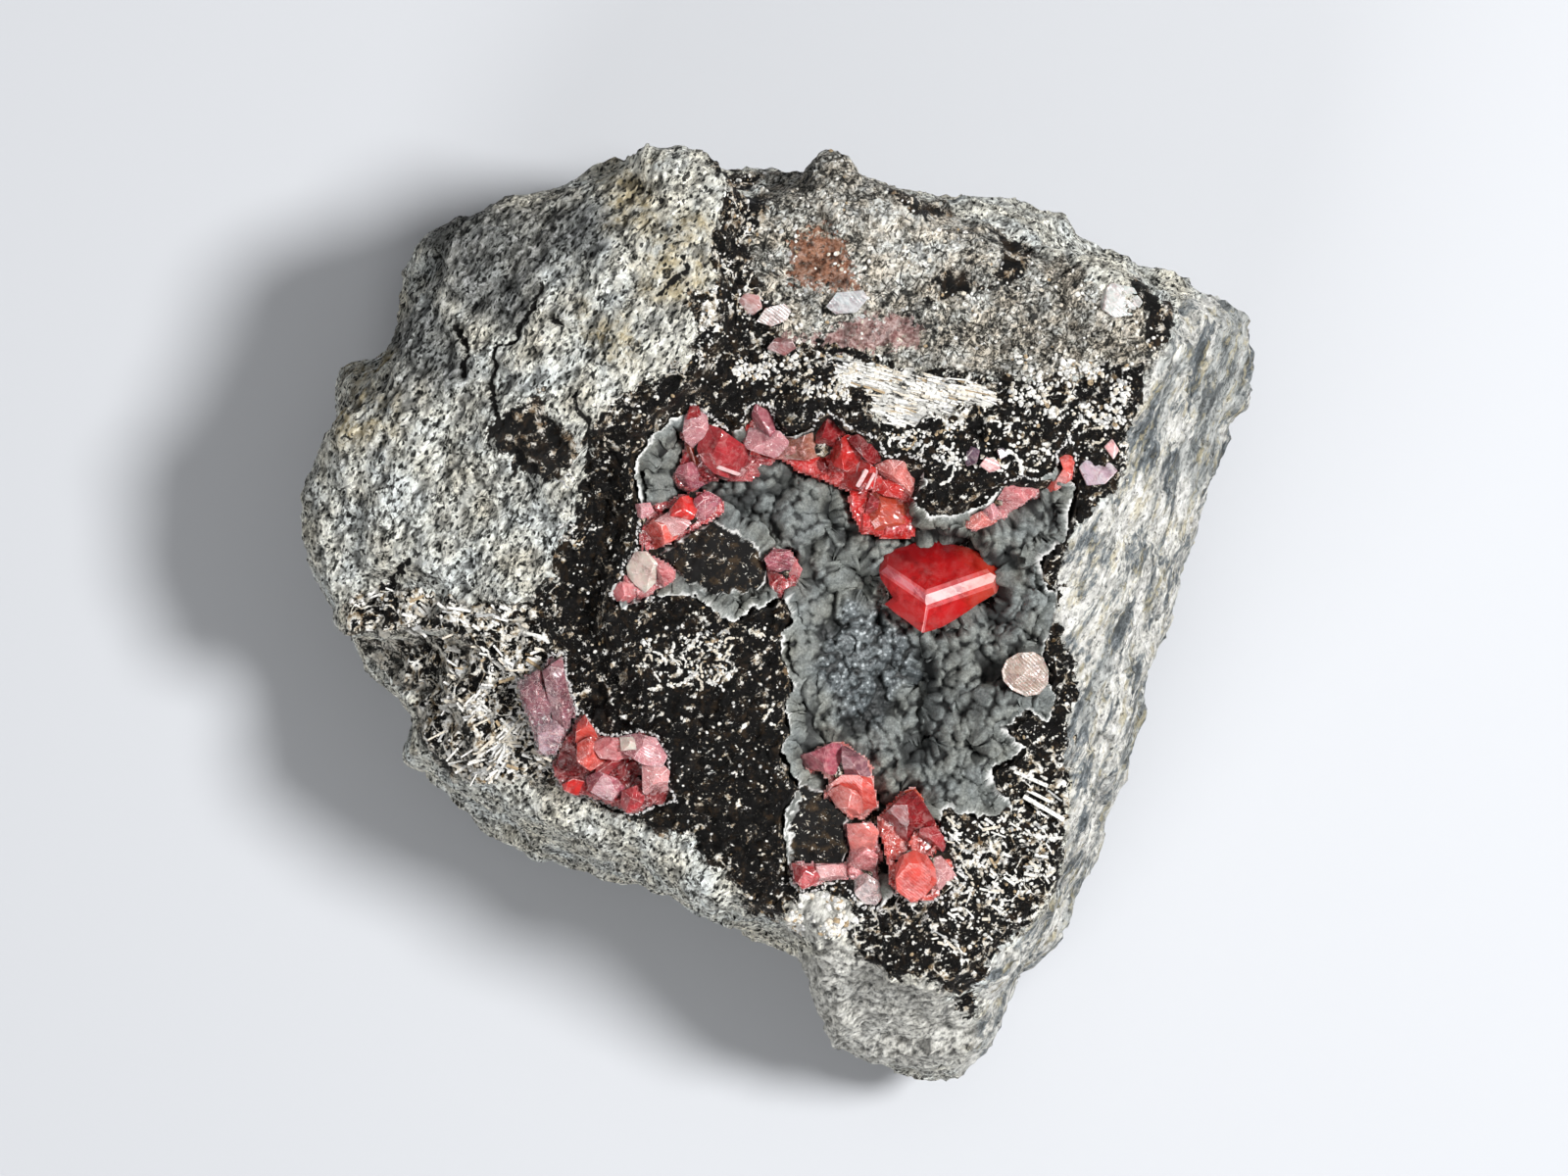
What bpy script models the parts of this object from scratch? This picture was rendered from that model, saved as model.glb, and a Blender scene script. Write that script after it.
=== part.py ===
import math

import bmesh
import bpy
import numpy as np
from mathutils import Matrix, Vector, noise
from mathutils.bvhtree import BVHTree

# Rhodochrosite specimen: a hand-sized lump of pale rock with a hollow in its upper
# face. The hollow is lined with a dark botryoidal crust, and rose-red rhodochrosite
# rhombohedra stand in it and round its rim.
# The rock lies on a flat sawn base at z = 0. The origin is on that base, under the
# middle of the rock. +X points to the steep white side, +Y to the far edge and +Z
# out of the hollow. Corner lists are in millimetres.

MM = 0.001
GAP = 0.3
VOXEL = 1.3
ROCK_TRIANGLES = 4400
HOLLOW_FLOOR = 34.5
CRUST_FOOT = HOLLOW_FLOOR + GAP
CRUST_RIM_DROP = 0.9
CRUST_CELL = 1.45
BOWL_DEPTH = 6.0
SKY = 62.0
CRYSTAL_FOOT = 36.0
TINY = 0.03

# Fracture blocks of the rock, given by their corners.
BLOCKS = {
    "body": [
        (-53, 0, 20), (-45, -20, 14), (-38, -27, 12), (-24, -31, 10), (-6, -39, 10),
        (5, -42, 14), (28, -45, 16), (33, -41, 14), (37.5, -28, 14), (42.5, -14, 14),
        (49, 6, 16), (54, 22, 20), (56, 33, 26), (49, 35, 34), (37, 44, 26),
        (23, 46, 30), (8, 52, 30), (-7, 52, 30), (-23, 37, 30), (-44, 7, 30),
        (45, 35, 46), (41, 25, 48), (38, 11, 48), (33, 0, 48), (34, -16, 46),
        (33, -31, 44.5), (28, -42, 40), (33, 40, 45), (22, 43, 47), (8, 49, 46),
        (-4, 48, 48), (-42, -18, 34), (-27, -21, 39), (-12, -26, 44), (0, -36, 44.5),
        (7, -39, 44), (-22, 2, 47),
        (-45, 7, -3), (-42, -14, -3), (-24, -25, -3), (0, -34, -3), (24, -38, -3),
        (31, -31, -3), (41, 2, -3), (47, 26, -3), (42, 38, -3), (12, 47, -3),
        (-12, 47, -3), (-36, 35, -3)],
    "shoulder": [
        (-6, 50, 50), (-5, 43, 51), (-6, 32, 52), (-11, 26, 53), (-18, 24, 54),
        (-22, 20, 53), (-25, 11, 50), (-27, 2, 46), (-34, -3, 42), (-46, -2, 36),
        (-52, -4, 31), (-18, 34, 56), (-11, 41, 55), (-54, 7, 33), (-55, 15, 33),
        (-51, 22, 38), (-45, 26, 38), (-41, 34, 38), (-41, 41, 38), (-34, 46, 40),
        (-22, 48, 44), (-17, 52, 44), (-12, 53, 47), (-8, 52, 48), (-56, 7, 14),
        (-55, 16, 12), (-48, 30, 12), (-42, 42, 10), (-35, 47, 10), (-18, 53, 12),
        (-8, 52, 14), (-50, 7, -3), (-48, 22, -3), (-33, 38, -3), (-14, 46, -3),
        (-24, 2, -3)],
    "knob": [
        (-53, 26, 27), (-52, 29, 24), (-49, 29, 26), (-48, 26, 28), (-48, 20, 30),
        (-52, 20, 28), (-54, 22, 10), (-54, 29, 8), (-47, 30, 8), (-47, 21, 8)],
    "toe": [
        (2, -38, 44), (12, -40, 43.5), (18, -42, 42.5), (28, -42, 40), (6, -51, 26),
        (15, -54, 23), (20, -56, 20), (24, -52, 24), (6, -53, 16), (16, -56, 14),
        (21, -57, 14), (25, -53, 14), (5, -49, 22), (4, -43, 30),
        (7, -50, -3), (15, -52, -3), (22, -52, -3), (29, -41, -3), (4, -38, -3)],
    "back_knob": [
        (32, 43, 26), (36, 45, 26), (41, 41, 24), (33, 42, 12), (38, 42, 12),
        (33, 38, 28), (40, 37, 26)],
    "crest_chip": [
        (2, 51, 44), (3, 54.5, 41), (7.5, 54, 41), (9, 51, 44), (9, 47, 46),
        (2, 46, 46), (4, 52, 32), (8, 52, 32)],
    "upper_left_corner": [
        (-43, 42, 30), (-43, 36, 32), (-37, 46, 33), (-36, 36, 39), (-43, 43, 16),
        (-43, 36, 12), (-36, 40, 10), (-46, 35, 28), (-47, 32, 22), (-42, 31, 36)],
    "edge_lump": [
        (-32, 48, 24), (-28, 49.5, 20), (-26, 46, 30), (-33, 44, 30), (-31, 46, 8),
        (-26, 46, 8)],
}

# Wedges broken out of the blocks: a bite in the left edge, the cleft along the
# foot of the shoulder, and a crack in the left ledge.
NOTCHES = {
    "left_bite": [
        (-41.5, -13, 70), (-46.5, -8, 70), (-58, -5, 70), (-58, -22, 70),
        (-44, -19.5, 70), (-44.5, -13, -9), (-49, -9, -9), (-60, -6, -9),
        (-60, -21, -9), (-47, -19, -9)],
    "shoulder_cleft": [
        (-17.8, 24, 70), (-20, 22.5, 70), (-23.5, 13.5, 70), (-26.5, 3.5, 70),
        (-27, -3.5, 70), (-25, -9, 70), (-22, -9, 70), (-21, 0, 70),
        (-17.8, 24, 51), (-20, 22.5, 51), (-23.5, 13.5, 50), (-26.5, 3.5, 48),
        (-27, -3.5, 46), (-25, -9, 45), (-22, -9, 45), (-21, 0, 46),
        (-20.5, 18, 43), (-23.5, 8, 41), (-24.5, -4, 40.5)],
    "ledge_crack": [
        (-34, 5, 60), (-37, 1, 60), (-42, -2, 60), (-51, -3.5, 60),
        (-51, 0.5, 60), (-42, 3, 60), (-36, 7, 60), (-35, 4.5, 39),
        (-37, 2.5, 35), (-43, 0, 31), (-51, -1.5, 27)],
}

# Outline of the hollow's rim, seen from above.
RIM = [
    (-17, 16), (-15.5, 19), (-12, 22), (-10.5, 23), (-8.5, 21), (-6.5, 20),
    (-4.5, 20.5), (-4, 23), (-2, 23), (0, 19.5), (4, 20.5), (5, 22), (8.5, 20),
    (10.5, 18.5), (11.5, 17), (16, 16.5), (16.5, 14.5), (15, 12.5), (17, 10.5),
    (20.5, 10.5), (24, 12), (26, 14.5), (29, 14), (32, 16.5), (33.5, 19),
    (33.5, 13.5), (32.5, 8), (29.5, 5.5), (30, 3), (31.5, 1.5), (31, -2.5),
    (30, -4.5), (30, -8), (31.5, -10), (30.5, -13), (28.5, -11.5), (25, -14),
    (28, -16), (24, -18.5), (24, -20), (27, -23.5), (23, -24), (18.5, -23),
    (18, -25.5), (20, -29.5), (18.5, -32), (15.5, -34), (13, -32.5), (11.5, -34.5),
    (9, -34), (7, -31), (3.5, -32.5), (1, -30.5), (0.5, -28), (0.5, -24),
    (2, -20.5), (0, -16.5), (1, -14.5), (0.5, -11.5), (1.5, -9), (0, -5.5),
    (0, -3), (1.5, -1.5), (0, 1.5), (-3.5, 0), (-5.5, -1.5), (-7, -1), (-10, 1.5),
    (-12, 1.5), (-15, 1.5), (-18.5, 0), (-19.5, 2), (-18, 4), (-16.5, 6.5),
    (-16, 11.5)]

# Black lumps of the crust that stand up to the rim's height.
LUMPS = {
    "island": (-1.0, [
        (-14.5, 6), (-11.5, 8), (-8, 10), (-6, 9), (-4, 7.5), (-1.5, 5), (-2, 3),
        (-3.5, 2), (-8, 1.5), (-10, 2.5), (-12, 4)]),
    "lump": (-0.6, [
        (2.5, -20.5), (5.5, -21.5), (7.5, -23.5), (7.5, -25.5), (7.5, -28), (7, -30),
        (5, -31), (2, -30.5), (1, -28), (1, -25)]),
}

# Crystals, given by the corners of their upper faces, grouped by what grew together.
CRYSTALS = {
    "upper_left_crystal": ((0.5, 0.03, 0.04), [
        [(-8.5, 21, 47.5), (-6.5, 20, 47), (-4.5, 18.5, 46), (-2, 17, 43),
         (-4, 15, 41.5), (-9, 15.5, 43), (-10.5, 16, 45), (-10.5, 18, 47),
         (-9.5, 19.5, 48)],
        [(-12, 20.5, 46), (-10.5, 22, 48), (-8.2, 21, 47.5), (-9.5, 18.5, 47),
         (-12, 19.5, 45.5)],
        [(-12.5, 15.5, 43), (-11, 18, 45.5), (-9.2, 15.7, 43), (-10.5, 13.5, 42),
         (-12.5, 14.5, 42)]]),
    "upper_crystals": ((0.62, 0.03, 0.02), [
        [(-4, 21, 47), (-4, 23, 48.5), (-2, 23, 48.5), (-1.5, 21, 47.5),
         (0.2, 19.5, 46.5), (-0.3, 17.5, 44), (-2.2, 18.2, 44), (-3.7, 19.5, 45)],
        [(-0.6, 19.7, 46.5), (4.2, 20.5, 47.5), (5.2, 17.3, 46.5), (-0.6, 17.5, 45.5)],
        [(0, 17.8, 43.5), (5.4, 17.5, 44), (6.6, 14.8, 42), (3.5, 15.5, 41.5)],
        [(4, 21, 47), (5, 22, 48), (6, 21.5, 48), (7.6, 19, 46), (5.5, 18, 45),
         (4, 18.3, 45)],
        [(5, 18, 44.5), (6.5, 19.5, 47.5), (8.5, 19.5, 48), (10.5, 18, 48),
         (11.5, 17, 48), (14.5, 13.5, 45), (13.5, 12.5, 44), (11, 13, 43),
         (8, 13.5, 43), (6, 15, 43)],
        [(11, 17, 47.5), (16, 16.5, 47.5), (16, 14.5, 46.5), (14.5, 13, 45),
         (13.5, 12.5, 44.5), (11, 13.5, 45.5)],
        [(8, 13.8, 42.5), (11, 13.5, 43.5), (14, 13.3, 43.5), (15.5, 11, 42.5),
         (15.5, 9.5, 42), (14.5, 8.5, 41), (10, 9, 41), (9, 9.5, 41),
         (8, 12, 41.5)]]),
    "left_upper_crystal": ((0.6, 0.12, 0.13), [
        [(-16, 10, 45), (-13.5, 11.5, 46.5), (-10.5, 13, 47), (-8, 12.5, 46),
         (-7.5, 11, 45), (-8.5, 10.4, 44.5), (-11, 8.9, 46), (-14, 7.2, 46),
         (-16, 7, 45), (-16.5, 8.5, 44)]]),
    "left_lower_crystal": ((0.75, 0.5, 0.45), [
        [(-18, 5, 45), (-17, 6, 46.5), (-15, 5.8, 47), (-13, 5, 46.5),
         (-12, 3.5, 46), (-14.5, 2.5, 45.5), (-16.5, 1.5, 45), (-18, 3.5, 45)],
        [(-19.5, 2, 44), (-18, 3.2, 45.5), (-16.3, 2.7, 45.5), (-16.8, 1, 44.5),
         (-18.5, 0.5, 44)]]),
    "island_crystal": ((0.6, 0.2, 0.22), [
        [(-1.2, 5.5, 46), (-0.5, 6.5, 47), (1, 5.5, 46.5), (2.5, 3.5, 44.5),
         (1.5, 2, 44), (0, 1.5, 44.5), (-1, 3, 46)]]),
    "right_strip_crystal": ((0.75, 0.3, 0.25), [
        [(20.5, 10.5, 44.5), (24, 12, 47), (26, 14.5, 48), (28, 14, 48),
         (27.5, 12, 46), (25.5, 10, 44.5), (22, 9, 43.5)],
        [(27, 14.5, 48), (29.5, 14, 48), (32.5, 16.5, 47.5), (33.5, 19.5, 48.5),
         (33, 16, 46), (32.5, 14.5, 45.5), (30, 13, 45), (27, 11.5, 44.5)]]),
    "mauve_plate_crystal": ((0.4, 0.25, 0.28), [
        [(-30.5, -9, 43), (-28.5, -8, 44.5), (-27, -7, 45), (-25.5, -10.5, 45),
         (-24.5, -12, 44.5), (-25, -14, 44), (-26.5, -16, 43), (-27.5, -17.5, 42),
         (-28.5, -16.5, 42), (-29, -14, 42.5), (-30, -11.5, 42.5)]]),
    "pocket_crystals": ((0.7, 0.15, 0.17), [
        [(-22.5, -14, 44.5), (-21, -15.5, 44.5), (-20.2, -17, 44), (-20.5, -18.7, 43.5),
         (-23, -19.2, 43), (-24, -17.5, 43), (-23.5, -16, 43.5)],
        [(-20.7, -15, 44.5), (-18, -14.5, 45), (-15, -15, 45.5), (-14, -17, 45.5),
         (-13.5, -19, 45), (-13, -22, 44), (-15.5, -23, 43), (-18, -21, 42.5),
         (-21, -17.5, 43)],
        [(-24.5, -20, 41.5), (-22, -18.7, 42), (-18, -19.2, 42.5), (-16, -22, 42.5),
         (-18, -23.5, 42), (-20, -22.5, 41.5), (-22, -21.5, 41), (-24, -22, 40.5)],
        [(-26, -17.5, 40.5), (-24, -13.5, 42), (-22.3, -13.5, 42.5), (-22.3, -17, 42),
         (-23.5, -20.7, 41), (-25.5, -21, 40), (-26, -19.5, 40)]]),
    "salmon_crystal": ((0.8, 0.25, 0.22), [
        [(2.5, -17.5, 46), (5, -15.5, 45.5), (7, -16, 45), (9.5, -17.5, 44),
         (10.5, -20, 43.5), (8, -20, 45.5), (5.5, -19.3, 46.5)],
        [(5.5, -19, 46.5), (10, -19.2, 44.5), (10.5, -21, 43.5), (11, -23, 42.5),
         (9.5, -24.2, 42.5), (8.3, -24.2, 43.5), (7.5, -22.5, 45), (6, -20.5, 46)]]),
    "grey_pink_plate_crystal": ((0.65, 0.42, 0.42), [
        [(8.3, -25, 43.5), (9.5, -25, 43), (11, -25.8, 42.5), (11.5, -27.5, 42),
         (10.5, -30.5, 42), (11.5, -32.5, 42.5), (11.5, -34, 43.5), (10, -34, 44),
         (8.8, -32.5, 44), (8, -31, 44), (8, -28, 44)]]),
    "small_rim_crystal": ((0.7, 0.3, 0.3), [
        [(1.5, -31.3, 45.5), (5.2, -31.4, 45), (7.2, -31.4, 44.5), (7.2, -32.4, 45),
         (3.5, -33.2, 45.5), (2, -33, 46)]]),
    "lower_crystals": ((0.75, 0.12, 0.06), [
        [(14.5, -21, 46), (16.5, -22.5, 45.5), (17, -24.5, 45), (18, -25.5, 44.5),
         (18.5, -27.5, 44), (16, -28.3, 44), (13, -29, 43), (12, -27, 43.5),
         (11.5, -24.5, 44), (13, -22.5, 45.5)],
        [(12.5, -29.5, 46), (14, -28.3, 47), (15.5, -28, 47.5), (17, -28.5, 47.5),
         (18, -30, 47), (19, -32, 46), (17.5, -32.5, 45.5), (15.5, -34, 44.5),
         (13.5, -33, 44.5), (12.5, -31.5, 45)],
        [(16, -28, 45), (18, -27, 45.5), (19.5, -28.5, 46), (19, -31.5, 46),
         (17.3, -30.8, 46)]]),
    "disc_crystal": ((0.85, 0.65, 0.55), [
        [(25.5, -7.5, 43.5), (26, -6, 44.5), (28, -5, 45.5), (29.5, -5.5, 46),
         (31, -7.5, 45.5), (30, -9.5, 44.5), (28, -10, 43.5), (26, -9.5, 43)]]),
}

# The large rhombohedron: its nearest corner and the three edges that leave it.
MAIN_CORNER = (16.9, 1.0, 46.6)
MAIN_EDGES = [(-5.3, 4.6, -2.6), (8.6, 3.5, -3.6), (-0.8, -4.0, -3.0)]
MAIN_CUTS = [
    ((25.5, 2.8, 42.0), (0.93, -0.30, 0.25)),
    ((21.7, 7.4, 42.0), (0.35, 0.93, 0.12)),
    ((15.0, 7.9, 42.0), (-0.28, 0.95, 0.12)),
]


def clear_scene():
    for old in list(bpy.data.objects):
        bpy.data.objects.remove(old)


def new_collection(name):
    group = bpy.data.collections.new(name)
    bpy.context.scene.collection.children.link(group)
    return group


def new_material(name, colour, roughness):
    material = bpy.data.materials.new(name)
    material.use_nodes = True
    shader = material.node_tree.nodes["Principled BSDF"]
    shader.inputs["Base Color"].default_value = (*colour, 1.0)
    shader.inputs["Roughness"].default_value = roughness
    shader.inputs["Metallic"].default_value = 0.0
    return material


def new_object(name, bm, group):
    mesh = bpy.data.meshes.new(name)
    bm.to_mesh(mesh)
    bm.free()
    thing = bpy.data.objects.new(name, mesh)
    group.objects.link(thing)
    return thing


def evaluated_copy(thing):
    view = bpy.context.evaluated_depsgraph_get()
    return bpy.data.meshes.new_from_object(thing.evaluated_get(view))


def bake_modifiers(thing):
    mesh = evaluated_copy(thing)
    thing.modifiers.clear()
    thing.data = mesh


def boolean(thing, cutter, operation):
    step = thing.modifiers.new(operation.lower(), "BOOLEAN")
    step.operation = operation
    step.solver = "EXACT"
    step.object = cutter
    bpy.context.view_layer.update()
    bake_modifiers(thing)
    bpy.data.objects.remove(cutter)


def hull_mesh(corners):
    bm = bmesh.new()
    for corner in corners:
        bm.verts.new(Vector(corner) * MM)
    made = bmesh.ops.convex_hull(bm, input=bm.verts)
    spare = {v for v in made["geom_interior"] + made["geom_unused"]
             if isinstance(v, bmesh.types.BMVert)}
    bmesh.ops.delete(bm, geom=list(spare), context="VERTS")
    bmesh.ops.recalc_face_normals(bm, faces=bm.faces)
    return bm


def grow(bm, distance):
    """Move each corner of a convex shape outside of the faces that meet there."""
    bmesh.ops.dissolve_limit(bm, angle_limit=0.02, verts=bm.verts, edges=bm.edges)
    bm.normal_update()
    shifts = []
    for v in bm.verts:
        normals = np.array([list(f.normal) for f in v.link_faces])
        shift = np.linalg.lstsq(normals, np.ones(len(normals)), rcond=0.1)[0]
        length = float(np.linalg.norm(shift))
        shifts.append(Vector(shift) * distance * MM * min(1.0, 2.2 / length))
    for v, shift in zip(bm.verts, shifts):
        v.co += shift
    corners = [v.co / MM for v in bm.verts]
    bm.free()
    return hull_mesh(corners)


def foot_corners(corners, height, scale):
    middle = sum((Vector(c) for c in corners), Vector()) / len(corners)
    feet = []
    for corner in corners:
        side = (Vector(corner) - middle) * scale
        feet.append((middle.x + side.x, middle.y + side.y, height))
    return feet


def inside(x, y, outline):
    found = False
    count = len(outline)
    for i in range(count):
        x0, y0 = outline[i]
        x1, y1 = outline[(i + 1) % count]
        if (y0 > y) != (y1 > y) and x < x0 + (x1 - x0) * (y - y0) / (y1 - y0):
            found = not found
    return found


def edge_distance(x, y, outline):
    """Distance to an outline, positive inside it."""
    best = 1e9
    count = len(outline)
    for i in range(count):
        x0, y0 = outline[i]
        x1, y1 = outline[(i + 1) % count]
        dx, dy = x1 - x0, y1 - y0
        along = ((x - x0) * dx + (y - y0) * dy) / (dx * dx + dy * dy)
        along = min(1.0, max(0.0, along))
        best = min(best, math.hypot(x - x0 - along * dx, y - y0 - along * dy))
    return best if inside(x, y, outline) else -best


def prism(name, outline, low, high, group):
    bm = bmesh.new()
    ring = [bm.verts.new((x * MM, y * MM, low * MM)) for x, y in outline]
    floor = bm.faces.new(ring)
    grown = bmesh.ops.extrude_face_region(bm, geom=[floor])
    raised = [v for v in grown["geom"] if isinstance(v, bmesh.types.BMVert)]
    bmesh.ops.translate(bm, vec=(0, 0, (high - low) * MM), verts=raised)
    bmesh.ops.recalc_face_normals(bm, faces=bm.faces)
    thing = new_object(name, bm, group)
    thing.hide_render = True
    thing.display_type = "WIRE"
    return thing


def shrunk_outline(outline, distance):
    """Outline moved inwards by a fixed distance."""
    count = len(outline)
    area = sum(outline[i][0] * outline[(i + 1) % count][1]
               - outline[(i + 1) % count][0] * outline[i][1] for i in range(count))
    turn = 1.0 if area > 0 else -1.0
    moved = []
    for i in range(count):
        here = Vector(outline[i])
        into = (here - Vector(outline[i - 1])).normalized()
        out = (Vector(outline[(i + 1) % count]) - here).normalized()
        first = Vector((-into.y, into.x)) * turn
        second = Vector((-out.y, out.x)) * turn
        bend = first + second
        reach = min(2.0, 2.0 / max(0.2, bend.dot(bend)))
        moved.append(tuple(here + bend * distance * reach))
    return moved


def drift(point):
    """A smooth random vector for a point, the same on each run."""
    return Vector((noise.noise(point), noise.noise(point + Vector((19, 3, 7))),
                   noise.noise(point + Vector((5, 23, 11)))))


def chip_relief(point, size, step):
    """Flat tilted chips with small steps between them, as on a broken face."""
    centre = noise.voronoi(point / size)[1][0]
    tilt = drift(centre * 7.3 + Vector((1, 5, 2)))
    lift = noise.noise(centre * 5.1 + Vector((4, 4, 4)))
    return step * (2.0 * lift + 1.4 * tilt.dot(point / size - centre))


def rock_relief(point):
    """Height of the broken surface above its fracture plane, in millimetres."""
    slanted = Vector((point.x + 0.6 * point.y, 0.35 * (point.y - point.x), point.z))
    warped = point + 2.0 * drift(point * 0.12)
    relief = 1.2 * noise.noise(point * 0.075)
    relief += chip_relief(warped, 13.0, 1.1)
    relief += chip_relief(warped + Vector((31, 17, 5)), 6.5, 0.45)
    relief += 0.7 * noise.noise(slanted * 0.2 + Vector((7, 3, 1)))
    relief += 0.5 * noise.noise(point * 0.5 + Vector((5, 1, 8)))
    return 0.85 * relief - 0.3


def keep_largest_body(thing):
    bm = bmesh.new()
    bm.from_mesh(thing.data)
    left = set(bm.verts)
    bodies = []
    while left:
        stack = [left.pop()]
        body = set(stack)
        while stack:
            v = stack.pop()
            for edge in v.link_edges:
                other = edge.other_vert(v)
                if other not in body:
                    body.add(other)
                    left.discard(other)
                    stack.append(other)
        bodies.append(body)
    bodies.sort(key=len, reverse=True)
    spare = [v for body in bodies[1:] for v in body]
    bmesh.ops.delete(bm, geom=spare, context="VERTS")
    bm.to_mesh(thing.data)
    bm.free()


def tidy(thing):
    """Merge the near-coincident corners that the cuts leave."""
    bm = bmesh.new()
    bm.from_mesh(thing.data)
    bmesh.ops.remove_doubles(bm, verts=bm.verts, dist=TINY * MM)
    bmesh.ops.dissolve_degenerate(bm, dist=0.005 * MM, edges=bm.edges)
    bmesh.ops.triangulate(bm, faces=bm.faces)
    bm.to_mesh(thing.data)
    bm.free()


def build_rock(parts, cutters):
    rock = None
    for name, corners in BLOCKS.items():
        block = new_object(name, hull_mesh(corners), cutters)
        if rock is None:
            rock = block
        else:
            boolean(rock, block, "UNION")
    for name, corners in NOTCHES.items():
        boolean(rock, new_object(name, hull_mesh(corners), cutters), "DIFFERENCE")
    cutters.objects.unlink(rock)
    parts.objects.link(rock)
    rock.name = "matrix"
    remesh = rock.modifiers.new("even faces", "REMESH")
    remesh.mode = "VOXEL"
    remesh.voxel_size = VOXEL * MM
    bake_modifiers(rock)
    normals = [Vector(v.normal) for v in rock.data.vertices]
    for v, normal in zip(rock.data.vertices, normals):
        v.co += normal * rock_relief(v.co / MM) * MM
    thin = rock.modifiers.new("thin", "DECIMATE")
    thin.ratio = ROCK_TRIANGLES / (2.0 * len(rock.data.vertices))
    bake_modifiers(rock)
    ground = [(-90, -90), (90, -90), (90, 90), (-90, 90)]
    boolean(rock, prism("ground", ground, -30, 0, cutters), "DIFFERENCE")
    whole = bmesh.new()
    whole.from_mesh(rock.data)
    tree = BVHTree.FromBMesh(whole)
    whole.free()
    hollow = prism("hollow", RIM, HOLLOW_FLOOR, SKY, cutters)
    boolean(rock, hollow, "DIFFERENCE")
    return rock, tree


def bump_centres():
    """Centres and radii of the crust's rounded bumps, one to a jittered cell."""
    rng = np.random.default_rng(7)
    bumps = []
    cell = 3.1
    for row in range(24):
        for column in range(24):
            x = -24 + (column + 0.5 * (row % 2) + rng.uniform(-0.3, 0.3)) * cell
            y = -38 + (row + rng.uniform(-0.3, 0.3)) * cell * 0.9
            bumps.append((x, y, rng.uniform(1.3, 2.3)))
    return np.array(bumps)


def surface_height(tree, x, y):
    """Height of the unbroken rock surface above the point, in millimetres."""
    hit = tree.ray_cast(Vector((x * MM, y * MM, SKY * MM)), Vector((0, 0, -1)))[0]
    return hit.z / MM


def crust_height(x, y, bumps, tree):
    depth = max(0.0, edge_distance(x, y, RIM))
    surface = surface_height(tree, x, y)
    base = surface - CRUST_RIM_DROP
    base -= BOWL_DEPTH * (1.0 - math.exp(-((depth / 6.0) ** 1.2)))
    base += 1.3 * noise.noise(Vector((x * 0.13, y * 0.13, 3.0)))
    base -= 1.6 * math.exp(-((x - 16) / 2.5) ** 2 - ((y + 8) / 5.0) ** 2)
    reach = np.hypot(bumps[:, 0] - x, bumps[:, 1] - y)
    domes = np.sqrt(np.maximum(0.0, bumps[:, 2] ** 2 - reach ** 2))
    base += 0.9 * float(domes.max()) * min(1.0, depth / 1.5)
    for lift, outline in LUMPS.values():
        near = edge_distance(x, y, outline)
        if near > -1.6:
            share = min(1.0, (near + 1.6) / 1.6)
            top = surface + lift + 0.5 * noise.noise(Vector((x * 0.5, y * 0.5, 9.0)))
            base = max(base, base + (top - base) * share)
    return max(base, CRUST_FOOT + 0.9)


def build_crust(parts, cutters, tree):
    bumps = bump_centres()
    bm = bmesh.new()
    half = 31.0
    steps = int(2 * half / CRUST_CELL)
    bmesh.ops.create_grid(bm, x_segments=steps, y_segments=steps, size=half * MM)
    bmesh.ops.translate(bm, vec=(7 * MM, -5.5 * MM, 0), verts=bm.verts)
    far = [v for v in bm.verts
           if edge_distance(v.co.x / MM, v.co.y / MM, RIM) < -2.5]
    bmesh.ops.delete(bm, geom=far, context="VERTS")
    for v in bm.verts:
        v.co.z = crust_height(v.co.x / MM, v.co.y / MM, bumps, tree) * MM
    made = bmesh.ops.extrude_face_region(bm, geom=list(bm.faces), use_keep_orig=True)
    for part in made["geom"]:
        if isinstance(part, bmesh.types.BMVert):
            part.co.z = (CRUST_FOOT - 2) * MM
    bmesh.ops.triangulate(bm, faces=bm.faces)
    bmesh.ops.recalc_face_normals(bm, faces=bm.faces)
    crust = new_object("vug_lining", bm, parts)
    fitted = prism("fitted", shrunk_outline(RIM, GAP), CRUST_FOOT, SKY, cutters)
    boolean(crust, fitted, "INTERSECT")
    keep_largest_body(crust)
    return crust


def main_crystal_mesh():
    edges = [Vector(e) for e in MAIN_EDGES]
    corner = Vector(MAIN_CORNER)
    middle = corner + (edges[0] + edges[1] + edges[2]) / 2
    shape = Matrix((edges[0], edges[1], edges[2])).transposed().to_4x4()
    shape.translation = middle
    bm = bmesh.new()
    bmesh.ops.create_cube(bm, size=1.0, matrix=Matrix.Scale(MM, 4) @ shape)
    for point, direction in MAIN_CUTS:
        geom = list(bm.verts) + list(bm.edges) + list(bm.faces)
        cut = bmesh.ops.bisect_plane(
            bm, geom=geom, dist=1e-7, plane_co=Vector(point) * MM,
            plane_no=Vector(direction).normalized(), clear_outer=True)
        rim = [e for e in cut["geom_cut"] if isinstance(e, bmesh.types.BMEdge)]
        bmesh.ops.edgeloop_fill(bm, edges=rim)
    bmesh.ops.recalc_face_normals(bm, faces=bm.faces)
    return bm


def shaft_mesh(bm):
    """The space a crystal needs: its grown shape, open straight up."""
    corners = [v.co / MM for v in bm.verts]
    bm.free()
    corners += [Vector((c.x, c.y, SKY)) for c in corners]
    return grow(hull_mesh(corners), GAP * 1.15)


def make_room(bm_list, hosts, cutters):
    for bm in bm_list:
        corners = shaft_mesh(bm)
        for host in hosts:
            cutter = new_object("room", corners.copy(), cutters)
            boolean(host, cutter, "DIFFERENCE")
        corners.free()


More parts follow.
